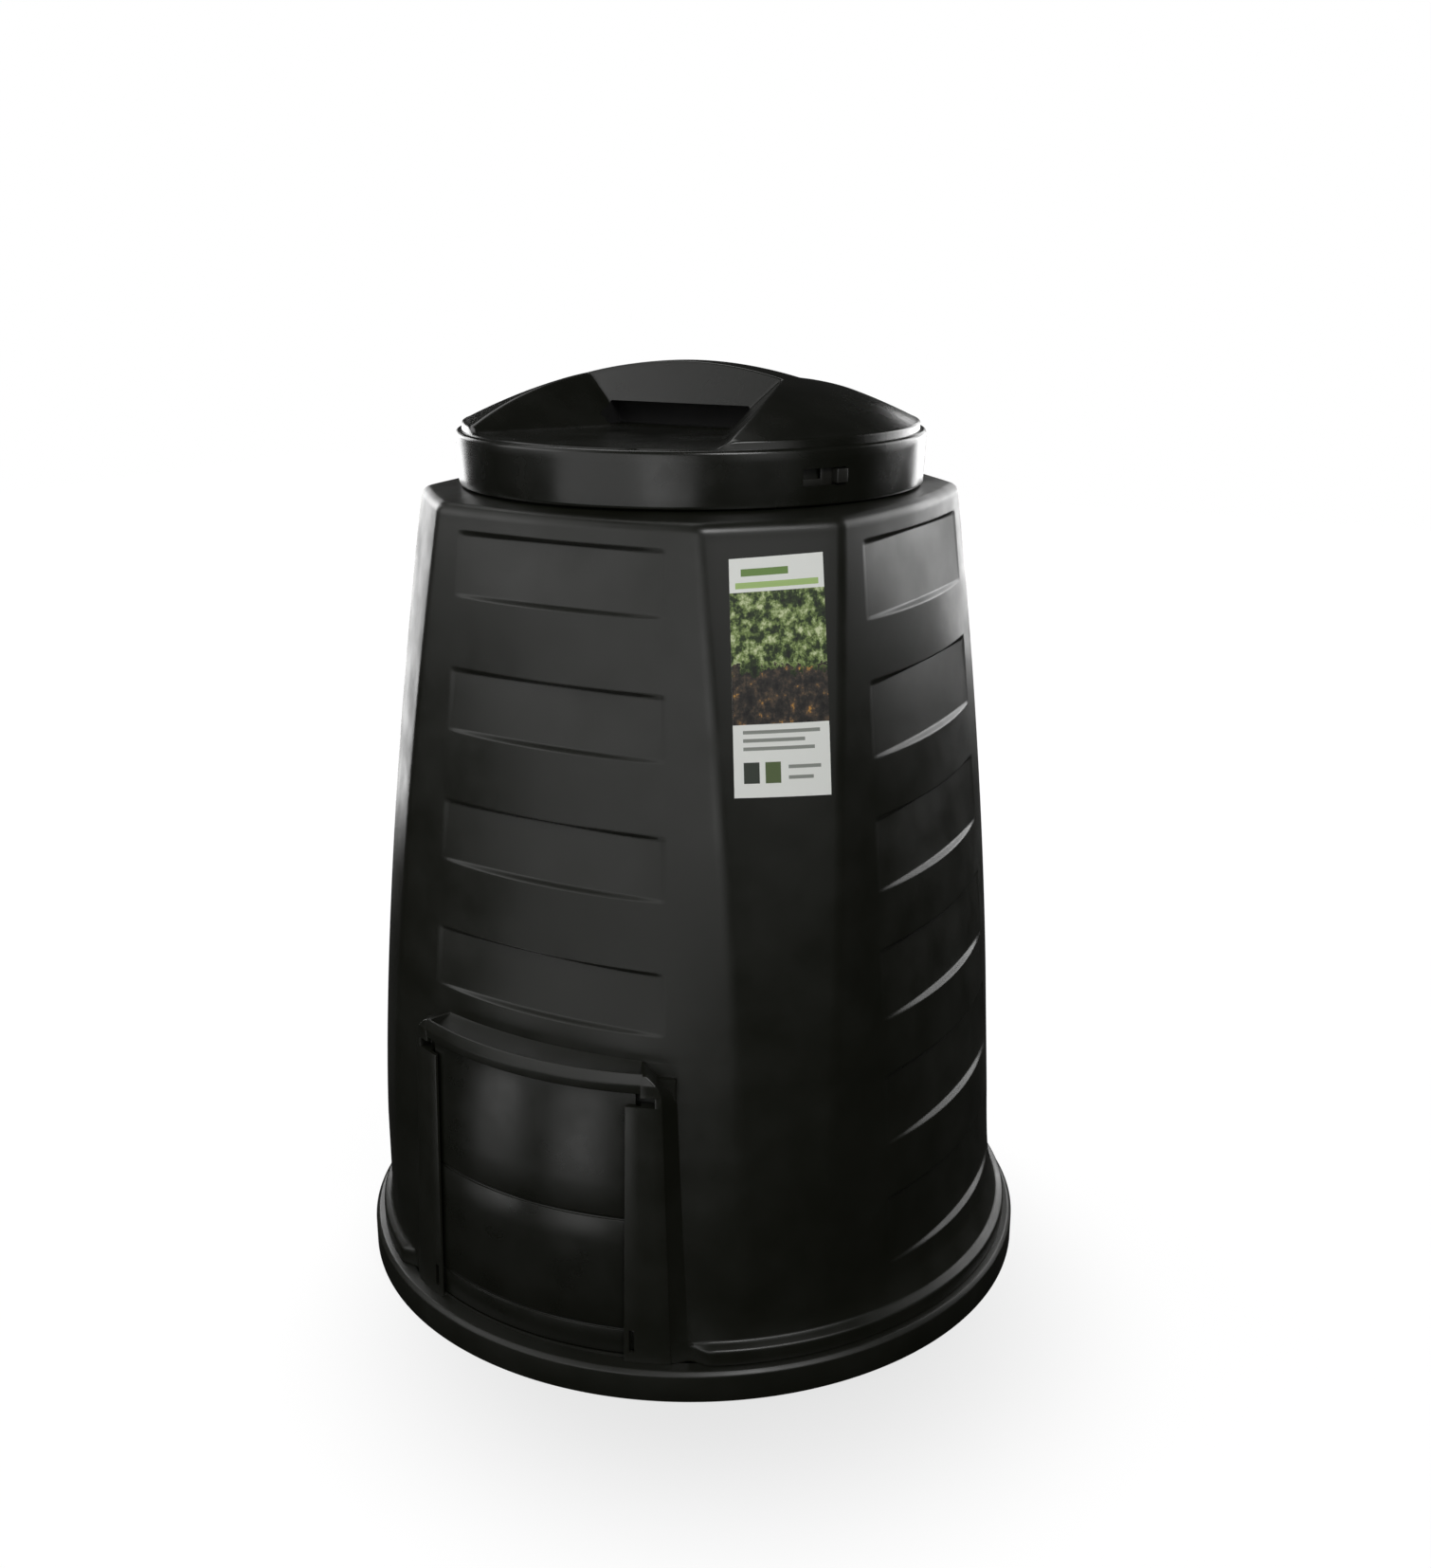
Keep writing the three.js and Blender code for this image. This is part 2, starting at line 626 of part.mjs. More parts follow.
function makeLid() {
  const dome = (inset, edge) => Array.from({ length: domeFacets }, (unused, step) => {
    const radius = edge * (1 - step / domeFacets);
    return [radius, domeHeight(radius) - inset];
  });
  const edgeCentre = lidRadius - lidEdgeFillet;
  const domeEdge = domeRadius - domeEdgeFillet;
  const outer = turned([
    [0, lidSkirtLow],
    [lidRadius - lidSkirtDraft, lidSkirtLow],
    ...quarterRound(edgeCentre, lidRim - lidEdgeFillet, lidEdgeFillet, 0, 90),
    [edgeCentre - beadWidth, lidRim],
    [domeRadius + beadGroove / 2, lidRim - beadGroove],
    [domeRadius, lidRim],
    ...quarterRound(domeEdge, domeHeight(domeEdge) - domeEdgeFillet, domeEdgeFillet, 0, 90),
    ...dome(0, domeEdge).slice(1),
    [0, domeHeight(0)],
  ], lidFacets);
  const skirtBore = lidRadius - lidSkirtDraft - lidWall;
  const hollow = turned([
    [0, lidSkirtLow - cutOverrun],
    [skirtBore, lidSkirtLow - cutOverrun],
    [skirtBore, lidSeatHeight + gap],
    [skirtBore - seatWidth, lidSeatHeight + gap],
    ...dome(lidWall, skirtBore - seatWidth),
    [0, domeHeight(0) - lidWall],
  ], lidFacets);
  let solid = outer
    .subtract(bothWays(makeScoop(0)))
    .subtract(hollow.subtract(bothWays(makeScoop(lidWall))));
  for (const latchAngle of latchAngles) {
    const start = latchAngle + slotStartAngle;
    solid = solid.subtract(arcBlock(skirtBore - wall, lidRadius + cutOverrun, slotLow, slotLow + slotHeight,
      start, start + slotSweepAngle));
  }
  return solid;
}

// A latch: a knob in the skirt's slot, a plate behind it and a finger that goes under the keeper
function makeLatch(latchAngle) {
  const skirtBore = lidRadius - lidSkirtDraft - lidWall;
  const plateOuter = skirtBore - latchPlay;
  const plateInner = plateOuter - latchPlate;
  const knobEnd = latchAngle + slotStartAngle + slotSweepAngle - slotEndGapAngle;
  const knobStart = knobEnd - knobSweepAngle;
  const plateMiddle = (knobStart + knobEnd) / 2;
  const plateStart = plateMiddle - latchPlateSweepAngle / 2;
  const plateLow = slotLow - latchPlateMargin;
  const plateHigh = slotLow + slotHeight + latchPlateMargin;
  const knob = arcBlock(plateOuter - latchPlate / 2, lidRadius + knobProud, slotLow + knobClearance,
    slotLow + slotHeight - knobClearance, knobStart, knobEnd);
  const plate = arcBlock(plateInner, plateOuter, plateLow, plateHigh,
    plateStart, plateStart + latchPlateSweepAngle);
  const finger = arcBlock(plateInner, plateOuter, plateLow, plateLow + fingerHeight,
    plateStart - fingerSweepAngle, plateMiddle);
  return knob.add(plate).add(finger);
}

const bin = new THREE.Group();
bin.add(meshOf('ground_ring', geometryOf(makeGroundRing()), ringPlastic));
bin.add(meshOf('container', geometryOf(makeContainer()), wallPlastic));
bin.add(meshOf('hatch_door', geometryOf(makeDoor()), doorPlastic));
bin.add(meshOf('lid', geometryOf(makeLid()), lidPlastic));
bin.add(meshOf('lid_latch_front', geometryOf(makeLatch(latchAngles[0])), latchPlastic));
bin.add(meshOf('lid_latch_rear', geometryOf(makeLatch(latchAngles[1])), latchPlastic));

export default bin;
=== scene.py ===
import bpy
import math
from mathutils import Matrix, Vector


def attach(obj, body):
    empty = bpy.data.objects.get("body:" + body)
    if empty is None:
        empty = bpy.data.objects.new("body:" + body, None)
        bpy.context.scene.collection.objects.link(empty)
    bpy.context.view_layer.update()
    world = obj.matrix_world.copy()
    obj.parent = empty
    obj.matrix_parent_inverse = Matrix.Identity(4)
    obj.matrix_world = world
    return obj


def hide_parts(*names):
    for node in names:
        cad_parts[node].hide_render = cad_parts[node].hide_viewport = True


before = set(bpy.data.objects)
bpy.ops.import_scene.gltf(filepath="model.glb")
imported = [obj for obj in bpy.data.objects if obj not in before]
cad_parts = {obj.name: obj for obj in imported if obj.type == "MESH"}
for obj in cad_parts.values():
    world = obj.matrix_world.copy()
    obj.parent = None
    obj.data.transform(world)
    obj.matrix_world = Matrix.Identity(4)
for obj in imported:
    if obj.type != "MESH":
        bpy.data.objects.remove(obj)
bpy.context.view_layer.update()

mm = 0.001
sameSpot = 0.01   # mm, points nearer than this are one

view = {
    "eye": (0.8911, -1.5561, 1.075),   # metres, from the fit of the ring and the lid in the picture
    "turn": 29.0,                      # degrees round from the hatch
    "dip": 17.14,                      # degrees below level
    "lens": 39.18,                     # mm on the frame's long side
}


def deselectAll():
    if bpy.context.mode != "OBJECT":
        bpy.ops.object.mode_set(mode="OBJECT")
    bpy.ops.object.select_all(action="DESELECT")


def makeActive(obj):
    deselectAll()
    obj.select_set(True)
    bpy.context.view_layer.objects.active = obj


def lerp(a, b, t):
    return a + (b - a) * t


def mix(p, q, t):
    return tuple(lerp(a, b, t) for a, b in zip(p, q))


def clamp(value, low=0.0, high=1.0):
    return max(low, min(high, value))


def smooth(t):
    t = clamp(t)
    return t * t * (3 - 2 * t)


def softMin(a, b, reach):
    h = clamp(0.5 + 0.5 * (b - a) / reach)
    return lerp(b, a, h) - reach * h * (1 - h)


def softMax(a, b, reach):
    return -softMin(-a, -b, reach)


def spread(low, high, count, ends=False):
    # count values from low on, with high itself as the last one only where ends is set
    last = count - 1 if ends else count
    return [lerp(low, high, i / last) for i in range(count)]


def quarterTurn(steps):
    # how far back and how far up a rounded edge is at each step, as shares of its radius
    turns = [math.radians(90 * step / steps) for step in range(steps + 1)]
    return [(1 - math.cos(turn), math.sin(turn)) for turn in turns]


def angleOf(halfWidth, radius):
    return math.degrees(math.asin(halfWidth / radius))


def polar(radius, angle, z):
    a = math.radians(angle)
    return (radius * math.cos(a), radius * math.sin(a), z)


def roundCorners(outline, cut, steps=3):
    # a closed outline in millimetres with each corner eased by up to cut
    eased = []
    for i, corner in enumerate(outline):
        p, v, q = (Vector(outline[i - 1]), Vector(corner), Vector(outline[(i + 1) % len(outline)]))
        toP, toQ = p - v, q - v
        a = v + toP.normalized() * min(cut, toP.length * 0.45)
        b = v + toQ.normalized() * min(cut, toQ.length * 0.45)
        for step in range(steps + 1):
            t = step / steps
            eased.append(tuple((1 - t) ** 2 * a + 2 * t * (1 - t) * v + t * t * b))
    return eased


def startEdit():
    bpy.ops.object.mode_set(mode="EDIT")
    bpy.ops.mesh.select_all(action="SELECT")


def weld(near):
    bpy.ops.mesh.select_all(action="SELECT")
    bpy.ops.mesh.remove_doubles(threshold=near * mm)


def turnOutward():
    # the last step of an edit
    bpy.ops.mesh.select_all(action="SELECT")
    bpy.ops.mesh.normals_make_consistent(inside=False)
    bpy.ops.object.mode_set(mode="OBJECT")


def sheetOf(name, rows, closed):
    # a grid whose rows are set point by point, in millimetres, then welded into one skin
    if closed:
        rows = [row + row[:1] for row in rows]
        rows.append(rows[0])
    deselectAll()
    bpy.ops.mesh.primitive_grid_add(x_subdivisions=len(rows[0]) - 1, y_subdivisions=len(rows) - 1, size=1,
                                    location=(0, 0, 0), calc_uvs=True)
    obj = bpy.context.object
    obj.name = name
    flat = [value * mm for row in rows for point in row for value in point]
    obj.data.vertices.foreach_set("co", flat)
    if closed:
        startEdit()
        weld(sameSpot)
        turnOutward()
    return obj


def sweptPiece(name, outline, start, sweep, steps):
    # an outline of (radius, height) turned about the upright axis, with flat ends unless it comes full circle
    deselectAll()
    bpy.ops.mesh.primitive_circle_add(vertices=len(outline), radius=1, location=(0, 0, 0))
    obj = bpy.context.object
    obj.name = name
    points = [Vector(polar(r, start, z)) * mm for r, z in outline]
    obj.data.vertices.foreach_set("co", [value for point in points for value in point])
    startEdit()
    bpy.ops.mesh.spin(steps=steps, angle=math.radians(-sweep), center=(0, 0, 0), axis=(0, 0, 1))
    weld(sameSpot)
    if sweep < 360:
        bpy.ops.mesh.fill_holes(sides=0)
    turnOutward()
    return obj


def applyModifier(obj, kind, **settings):
    makeActive(obj)
    modifier = obj.modifiers.new(kind.lower(), kind)
    for key, value in settings.items():
        setattr(modifier, key, value)
    bpy.ops.object.modifier_apply(modifier=modifier.name)


def easeEdges(obj, width, segments):
    # rounds the sharp edges only
    applyModifier(obj, "BEVEL", width=width * mm, segments=segments, limit_method="ANGLE",
                  angle_limit=math.radians(60))


def joinInto(obj, others):
    makeActive(obj)
    for other in others:
        other.select_set(True)
    bpy.ops.object.join()


def setBox(obj, size, middle):
    # both in millimetres
    obj.scale = [value * mm for value in size]
    obj.location = [value * mm for value in middle]
    bpy.ops.object.transform_apply(location=True, rotation=True, scale=True)


def cutWith(obj, cutter):
    applyModifier(obj, "BOOLEAN", object=cutter, operation="DIFFERENCE", solver="EXACT")
    bpy.data.objects.remove(cutter)


def leanIn(obj):
    # the hatch's pieces lean in with the wall
    for vertex in obj.data.vertices:
        vertex.co = Vector(leaned(vertex.co / mm)) * mm


def finishPiece(obj, body, nodes, material, angle=32):
    makeActive(obj)
    bpy.ops.object.shade_smooth_by_angle(angle=math.radians(angle))
    obj.data.materials.clear()
    obj.data.materials.append(material)
    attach(obj, body)
    if nodes:
        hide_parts(*nodes)


# colours and nodes

def toLinear(text):
    def channel(value):
        v = int(value, 16) / 255
        return v / 12.92 if v <= 0.04045 else ((v + 0.055) / 1.055) ** 2.4
    return (channel(text[1:3]), channel(text[3:5]), channel(text[5:7]), 1.0)


def addNode(tree, kind, inputs=None, **settings):
    # a node with its settings; an input is a value, a colour or another node's socket
    node = tree.nodes.new("ShaderNode" + kind)
    for key, value in settings.items():
        setattr(node, key, value)
    for key, value in (inputs or {}).items():
        if isinstance(value, bpy.types.NodeSocket):
            tree.links.new(value, node.inputs[key])
        else:
            node.inputs[key].default_value = value
    return node


polyethylene = {
    "ior": 1.51,
    "grain": 1.1,            # mm, the mould's grain, drawn coarser than real so that it shows
    "grainDepth": 0.025,     # mm
    "ripple": 130,           # mm, slow waviness of a large moulding as it cools
    "rippleDepth": 0.5,      # mm
    "patch": 55,             # mm, patches of more and less gloss
    "patchTone": 1.12,       # the lighter patches, against the plain colour
    "glossRange": (0.3, 0.7), "toneRange": (0.35, 0.75),   # between these heights of the noise they change
}


def moulded(name, colour, roughness, gloss=0.5, ripple=1.0, grain=1.0, patchSpread=0.06):
    # ripple and grain are shares of the depths above
    material = bpy.data.materials.new(name)
    material.use_nodes = True
    tree = material.node_tree
    shader = tree.nodes["Principled BSDF"]
    p = polyethylene
    place = addNode(tree, "TexCoord").outputs["Object"]
    speckle, waves, patches = (
        addNode(tree, "TexNoise", {
            "Vector": place, "Scale": 1 / (p[size] * mm), "Detail": detail, "Roughness": share}).outputs["Fac"]
        for size, detail, share in (("grain", 2.0, 0.6), ("ripple", 1.0, 0.4), ("patch", 3.0, 0.55)))
    wide = addNode(tree, "Bump", {
        "Height": waves, "Strength": 1.0, "Distance": p["rippleDepth"] * ripple * mm})
    fine = addNode(tree, "Bump", {
        "Height": speckle, "Strength": 1.0, "Distance": p["grainDepth"] * grain * mm,
        "Normal": wide.outputs["Normal"]})
    rough = addNode(tree, "MapRange", {
        "Value": patches, "From Min": p["glossRange"][0], "From Max": p["glossRange"][1],
        "To Min": roughness - patchSpread, "To Max": roughness + patchSpread})
    shade = addNode(tree, "MapRange", {
        "Value": patches, "From Min": p["toneRange"][0], "From Max": p["toneRange"][1],
        "To Min": 0.0, "To Max": 1.0})
    base = toLinear(colour)
    lighter = tuple(c * p["patchTone"] for c in base[:3]) + (1.0,)
    tone = addNode(tree, "Mix", {"Factor": shade.outputs["Result"], "A": base, "B": lighter},
                   data_type="RGBA")
    tree.links.new(tone.outputs["Result"], shader.inputs["Base Color"])
    tree.links.new(rough.outputs["Result"], shader.inputs["Roughness"])
    tree.links.new(fine.outputs["Normal"], shader.inputs["Normal"])
    shader.inputs["Specular IOR Level"].default_value = gloss
    shader.inputs["IOR"].default_value = p["ior"]
    return material


# carbon black takes in nearly all the light: what the eye gets of this plastic is the sheen of its skin
# blow moulded: a broad, soft and slightly wavy sheen
wallPlastic = moulded("polyethylene_blow_moulded", "#13140e", 0.38)
# injection moulded: evener, duller on the ring and the latches, nearly a dark mirror on the door and the lid
ringPlastic = moulded("polyethylene_injection_moulded_ring", "#13140e", 0.42)
doorPlastic = moulded("polyethylene_injection_moulded_door", "#12130e", 0.3, ripple=0.7, grain=0.5)
lidPlastic = moulded("polyethylene_injection_moulded_lid", "#11120d", 0.25, ripple=0.5)
latchPlastic = moulded("polyethylene_injection_moulded_latch", "#181814", 0.42)
# the hollow under the grip: rougher, and painted darker than the lid as shade, so it stays dark
hollowShadePlastic = moulded("polyethylene_hollow_painted_shade", "#0b0b0a", 0.85, gloss=0.3, ripple=0.0)

# container: one closed skin, from the foot up the outside, over the neck and down the inside
# millimetres, unless a note or the name says share, power, angle or degrees
barrel = {
    "wall": 4, "footRadius": 350, "shoulderRadius": 280, "shoulderHeight": 850,
    "taperStart": 150, "taperPower": 1.46, "roundFoot": 60,
    "cornerWidthTop": 136, "cornerWidthFoot": 76,
    "panelBowShare": 0.37, "cornerBowShare": 0.2, "bowRisePower": 0.386,
    "creaseSoftAngle": 1.3, "shoulderFillet": 12, "shoulderRise": 4,
    "neckRadius": 230, "neckFillet": 5, "neckTop": 904, "low": 33.3, "rimRound": 1.6,
    "columnSlack": 0.01,     # degrees
}
bands = {
    "count": 6, "overHatch": 4, "top": 825, "pitch": 131.4, "height": 62.5,
    "lip": 2.5, "ledge": 3.5, "halfWidth": 140, "sideRun": 10, "sideDepth": 1.8, "midDepth": 11,
    "sideDepthLow": 0.6, "midDepthLow": 5, "lipEase": 1.9, "ledgeEase": 0.5, "hold": 0.7,
    "columnGap": 0.12,       # degrees, on either side of a band's end
    "drop": 11.5,            # the ledges on the sides and the back lie this much lower than on the front
    "dropLead": 0.06, "dropEnd": 0.34, "dropRun": 0.3,   # shares of the pitch
    "dropReach": 3, "dropEase": 2.5,                     # degrees
}
flange = {
    "endRun": 22, "endColumns": (0.25, 0.75, 1), "endRise": (0, 0.16, 0.84, 1),   # shares
    "insideStart": 29, "insideRun": 4,   # degrees from the hatch's middle
    # heights up the foot, each with how far the flange stands out there
    "rows": [(33.3, 8.8), (33.8, 9.6), (34.6, 10), (35.8, 10), (36.5, 10), (36.55, 10), (46.8, 10), (48.8, 9.8),
             (50, 9.2), (50.9, 8), (53, 3.6), (54.3, 1.3), (55.3, 0.4), (56.5, 0), (75, 0), (92, 0)],
    "insideRows": [(75, 0.0), (51.3, 0.0), (46.3, 10), (33.3, 8.6)],
}
hatch = {
    "azimuth": -90, "leanShare": 0.0356, "jamb": 343, "lipInner": 352.5, "face": 356,
    "channel": 126, "lip": 112, "faceTop": 146, "faceFoot": 156, "frameReach": 14,
    "sill": 36.5, "railTop": 308, "pocketTop": 318, "pocketHalf": 139, "ledge": 332, "ledgeInset": 1.5,
    "ledgeStart": 327.2, "hoodTop": 342, "hoodRound": 1, "hoodCorner": 3, "hoodBack": 340, "hoodFootLead": 9,
    "hoodEndFace": 1.6, "hoodEndFoot": 2.6, "strapLow": 321, "strapChin": 354.4, "strapEase": 1.3,
    "noseHeight": 331, "nose": 357, "brow": 354,
    "openWidth": 200, "openLow": 62, "openHigh": 304, "openCorner": 25,
    "notchLow": 44, "notchHigh": 68, "notchNear": 117, "notchFar": 122, "stopTop": 38, "stopEase": 0.8,
    "cutterNear": 200, "cutterReach": 200,
    "floorColumns": 9,
    "footColumns": (0.4, 0.78, 0.95),   # shares of the way down to the wall
    "toeGap": 0.25, "wallGap": 0.3, "flangeGap": 0.6, "leastGap": 0.04,   # degrees
    "rowSlack": 0.02,        # a row that is doubled for a step lies nearer to it than this
    "changeRun": 14, "pocketInset": 2.5, "lipTurn": 0.8, "tuck": 0.05,
    # how the corners of the rails' section are rounded: how far along and how far out
    "floorCorner": [(-3, 0), (-0.8, 0.2), (0, 0.9)],
    "lipCorner": [(0, -1), (0.3, -0.3), (1, 0)],
    "faceCorner": [(-1.4, 0), (-0.4, -0.35), (0.25, -1.3)],
    # heights between the rails' top and the plain wall
    "rows": [308, 308.05, 311, 314.5, 317.95, 318, 320.5, 323, 325.3, 327.2, 329, 330.6, 331.4, 332, 332.5,
             333.2, 334.2, 335.5, 337, 338.5, 339.5, 340.2, 341, 341.8, 342.5, 343, 344.5, 347, 350, 353.5,
             357],
    "insideRows": [330.3, 329.7, 300],
}
keeper = {"inner": 228.5, "outer": 235.3, "low": 881.3, "top": 889, "start": -46, "sweep": 8,
          "ease": 0.8, "bevel": 0.7}   # start and sweep in degrees


def leaned(point):
    x, y, z = point
    return (x, y + hatch["leanShare"] * (z - hatch["sill"]), z)


def creaseRadius(z):
    b = barrel
    t = clamp((z - b["taperStart"]) / (b["shoulderHeight"] - b["taperStart"])) ** b["taperPower"]
    return lerp(b["footRadius"], b["shoulderRadius"], t)


def creaseAngle(z):
    b = barrel
    width = lerp(b["cornerWidthFoot"], b["cornerWidthTop"], clamp(z / b["shoulderHeight"]))
    return 45 - angleOf(width / 2, creaseRadius(z))


def sharpWall(angle, z):
    # chords between the creases, bowed part of the way out to the circle
    b = barrel
    quarter = (angle + 45) % 90 - 45
    crease = creaseAngle(z)
    isWide = abs(quarter) <= crease
    half = crease if isWide else 45 - crease
    off = quarter if isWide else 45 - abs(quarter)
    chord = math.cos(math.radians(half)) / math.cos(math.radians(off))
    flat = clamp((z - b["roundFoot"]) / (b["shoulderHeight"] - b["roundFoot"])) ** b["bowRisePower"]
    bow = lerp(1, b["panelBowShare"] if isWide else b["cornerBowShare"], flat)
    return creaseRadius(z) * lerp(chord, 1, bow)


def wallAt(angle, z):
    # the crease between two panels is moulded with a radius, and the columns at its ends count as part of it
    quarter = abs((angle + 45) % 90 - 45)
    soft = barrel["creaseSoftAngle"]
    if abs(quarter - creaseAngle(z)) > soft + barrel["columnSlack"]:
        return sharpWall(angle, z)
    return sum(sharpWall(angle + soft * step / 3, z) for step in range(-3, 4)) / 7


def bandShare(z, grow):
    # how far a recessed band has reached its depth at a height, how far up it that is, and the band's number
    over, under = bands["lipEase"], bands["ledgeEase"]
    for band in range(bands["count"]):
        top = bands["top"] - band * bands["pitch"] + grow
        low = top - bands["height"] - 2 * grow
        if low - under < z < top + over:
            lip = smooth((top + over - z) / (bands["lip"] + 2 * over))
            ledge = smooth((z - low + under) / (bands["ledge"] + 2 * under))
            return min(lip, ledge), clamp((z - low) / (top - low)), band
    return 0.0, 0.0, -1


def bandDepth(offset, inner, outer, up):
    # a band leans in: deep below its lip, shallow above its ledge
    side = lerp(bands["sideDepthLow"], bands["sideDepth"], up)
    if offset >= outer:
        return 0.0
    if offset > inner:
        return side * smooth((outer - offset) / (outer - inner))
    return lerp(lerp(bands["midDepthLow"], bands["midDepth"], up), side, (offset / inner) ** 2)


def ledgeDrop(panel, offset, outer, z):
    # how far a row is drawn down to meet the lower ledges, fading out towards the crease and between bands
    b = bands
    along = (b["top"] - z) / b["pitch"]
    if panel == 0 or not 0 < along < b["count"]:
        return 0.0
    along %= 1
    bandEnd = b["height"] / b["pitch"]
    if along < bandEnd:
        upright = smooth(along / (bandEnd - b["dropLead"]))
    else:
        upright = smooth((bandEnd + b["dropEnd"] - along) / b["dropRun"])
    return b["drop"] * upright * smooth((outer + b["dropReach"] - offset) / b["dropEase"])


def panelOffsets(z, grow=0):
    # degrees from a wide panel's middle out to the next corner's middle
    inner = angleOf(bands["halfWidth"] + grow, barrel["footRadius"])
    outer = inner + angleOf(bands["sideRun"], barrel["footRadius"])
    crease, soft, gap = creaseAngle(z), barrel["creaseSoftAngle"], bands["columnGap"]
    half = spread(0, inner - gap, 11) + [inner - gap] + spread(inner, outer, 5, True)
    half += [outer + gap] + spread(outer + 2 * gap, crease - soft, 9)
    return half + spread(crease - soft, crease + soft, 6) + spread(crease + soft, 45, 7, True), inner, outer


def hatchSizes(z):
    h = hatch
    rise = clamp((z - barrel["low"]) / (h["railTop"] - barrel["low"]))
    face = lerp(h["faceFoot"], h["faceTop"], rise)
    wholeFoot = face + h["frameReach"]
    # the hood's ends are round
    run = h["hoodTop"] - h["railTop"]
    drawn, drawnFoot = (clamp((z - h["railTop"] + lead) / run) ** h["hoodCorner"]
                        for lead in (0, h["hoodFootLead"]))
    return (lerp(face, h["channel"] + h["hoodEndFace"], drawn),
            lerp(wholeFoot, h["channel"] + h["hoodEndFoot"], drawnFoot), wholeFoot)


def hoodFront(z):
    # the rails' face, which becomes the hood's rounded front above them
    h = hatch
    if z <= h["strapLow"]:
        return h["face"]
    if z <= h["noseHeight"]:
        return lerp(h["face"], h["nose"], (z - h["strapLow"]) / (h["noseHeight"] - h["strapLow"]))
    return lerp(h["nose"], h["brow"], clamp((z - h["noseHeight"]) / (h["hoodTop"] - h["noseHeight"])))


def surroundPath(z):
    # half of the hatch's section as (half width, radius): channel, lip and the rail's face
    h = hatch
    face, foot, _ = hatchSizes(z)
    floor, channel, lip, turn = h["jamb"], h["channel"], h["lip"], h["lipTurn"]
    if z <= h["sill"] + h["rowSlack"]:
        floor, channel, turn = barrel["footRadius"], h["lip"], 0
    elif z > h["pocketTop"] - h["rowSlack"]:
        lip, turn = h["channel"], 0
        floor += h["ledgeInset"] * clamp((z - h["ledgeStart"]) / (h["ledge"] - h["ledgeStart"]))
    elif z > h["railTop"] + h["rowSlack"]:
        channel = lip = min(h["pocketHalf"], face - h["pocketInset"])
        turn = 0
    under, out, tuck = h["lipInner"], hoodFront(z), h["tuck"]
    points = [(u, floor) for u in spread(0, channel + h["floorCorner"][0][0], 6)]
    points += [(channel + along, floor + up) for along, up in h["floorCorner"]]
    points += [(channel, lerp(floor, under, 0.6)), (channel, under - tuck)]
    points += [(lerp(channel, lip, 0.5), under), (lip + turn, under + tuck), (lip, under + 2 * tuck + turn)]
    points += [(lip + along, out + up) for along, up in h["lipCorner"]]
    points += [(lerp(points[-1][0], face, share), out) for share in (0.35, 0.7)]
    points += [(face + along, out + up) for along, up in h["faceCorner"]]
    return points, foot


def hatchOffsets(z):
    # degrees from the hatch's middle for each of its columns, out to the next corner's middle
    h = hatch
    path, foot = surroundPath(z)
    offsets = [angleOf(u, h["face"]) for u, _ in path]
    toe = angleOf(foot, h["face"])
    offsets += [lerp(offsets[-1], toe, share) for share in h["footColumns"]] + [toe + h["toeGap"]]
    start = angleOf(hatchSizes(z)[2], h["face"]) + h["wallGap"]
    run = angleOf(flange["endRun"], h["face"])
    offsets += [start + run * share for share in flange["endColumns"]]
    crease, soft = creaseAngle(z), barrel["creaseSoftAngle"]
    offsets += spread(start + run + h["flangeGap"], crease - soft, 3) + spread(crease - soft, crease + soft, 5)
    offsets += spread(crease + soft, 45, 3, True)
    for i in range(1, len(offsets)):
        offsets[i] = max(offsets[i], offsets[i - 1] + h["leastGap"])
    return path, offsets


def hatchHalf(z, flangeOut, side, shelfShare, hoodShare):
    # the hatch's surround at a height, its middle and its hood drawn back to the plain wall by their shares
    h = hatch
    middle = h["azimuth"]
    path, offsets = hatchOffsets(z)
    foot = len(path) + len(h["footColumns"])
    wall = []
    for i, offset in enumerate(offsets):
        out = flangeOut * flange["endRise"][int(clamp(i - foot, 0, 3))]
        wall.append(polar(wallAt(middle + side * offset, z) + out, middle + side * offset, z))
    raised = [leaned(polar(r, middle + side * angleOf(u, h["face"]), z)) for u, r in path]
    raised += [mix(raised[-1], wall[foot], share) for share in h["footColumns"]]
    shares = [shelfShare] * h["floorColumns"] + [hoodShare] * (foot - h["floorColumns"])
    return [mix(a, b, share) for a, b, share in zip(raised, wall, shares)] + wall[foot:]


def outsideHalf(panel, side, z, flangeOut):
    offsets, inner, outer = panelOffsets(z)
    share, up, band = bandShare(z, 0)
    if panel == 0 and band >= bands["overHatch"]:
        share = 0.0
    middle = hatch["azimuth"] + 90 * panel
    hoodEnd = hatch["hoodTop"] + hatch["hoodRound"]
    if panel == 0 and z <= hoodEnd:
        shelf, hood = (clamp((z - start) / (hoodEnd - start)) for start in (hatch["ledge"], hatch["hoodBack"]))
        return hatchHalf(z, flangeOut, side, lerp(shelf, smooth(shelf), 0.3), hood)
    if panel == 0 and z < hoodEnd + hatch["changeRun"]:
        # the hatch's columns go over to the bands' columns on the plain wall
        change = smooth((z - hoodEnd) / hatch["changeRun"])
        offsets = [lerp(a, b, change) for a, b in zip(hatchOffsets(hoodEnd)[1], offsets)]
    half = []
    for o in offsets:
        level = z - ledgeDrop(panel, o, outer, z)
        angle = middle + side * o
        radius = wallAt(angle, level) - share * bandDepth(o, inner, outer, up) + flangeOut
        half.append(polar(radius, angle, level))
    return half


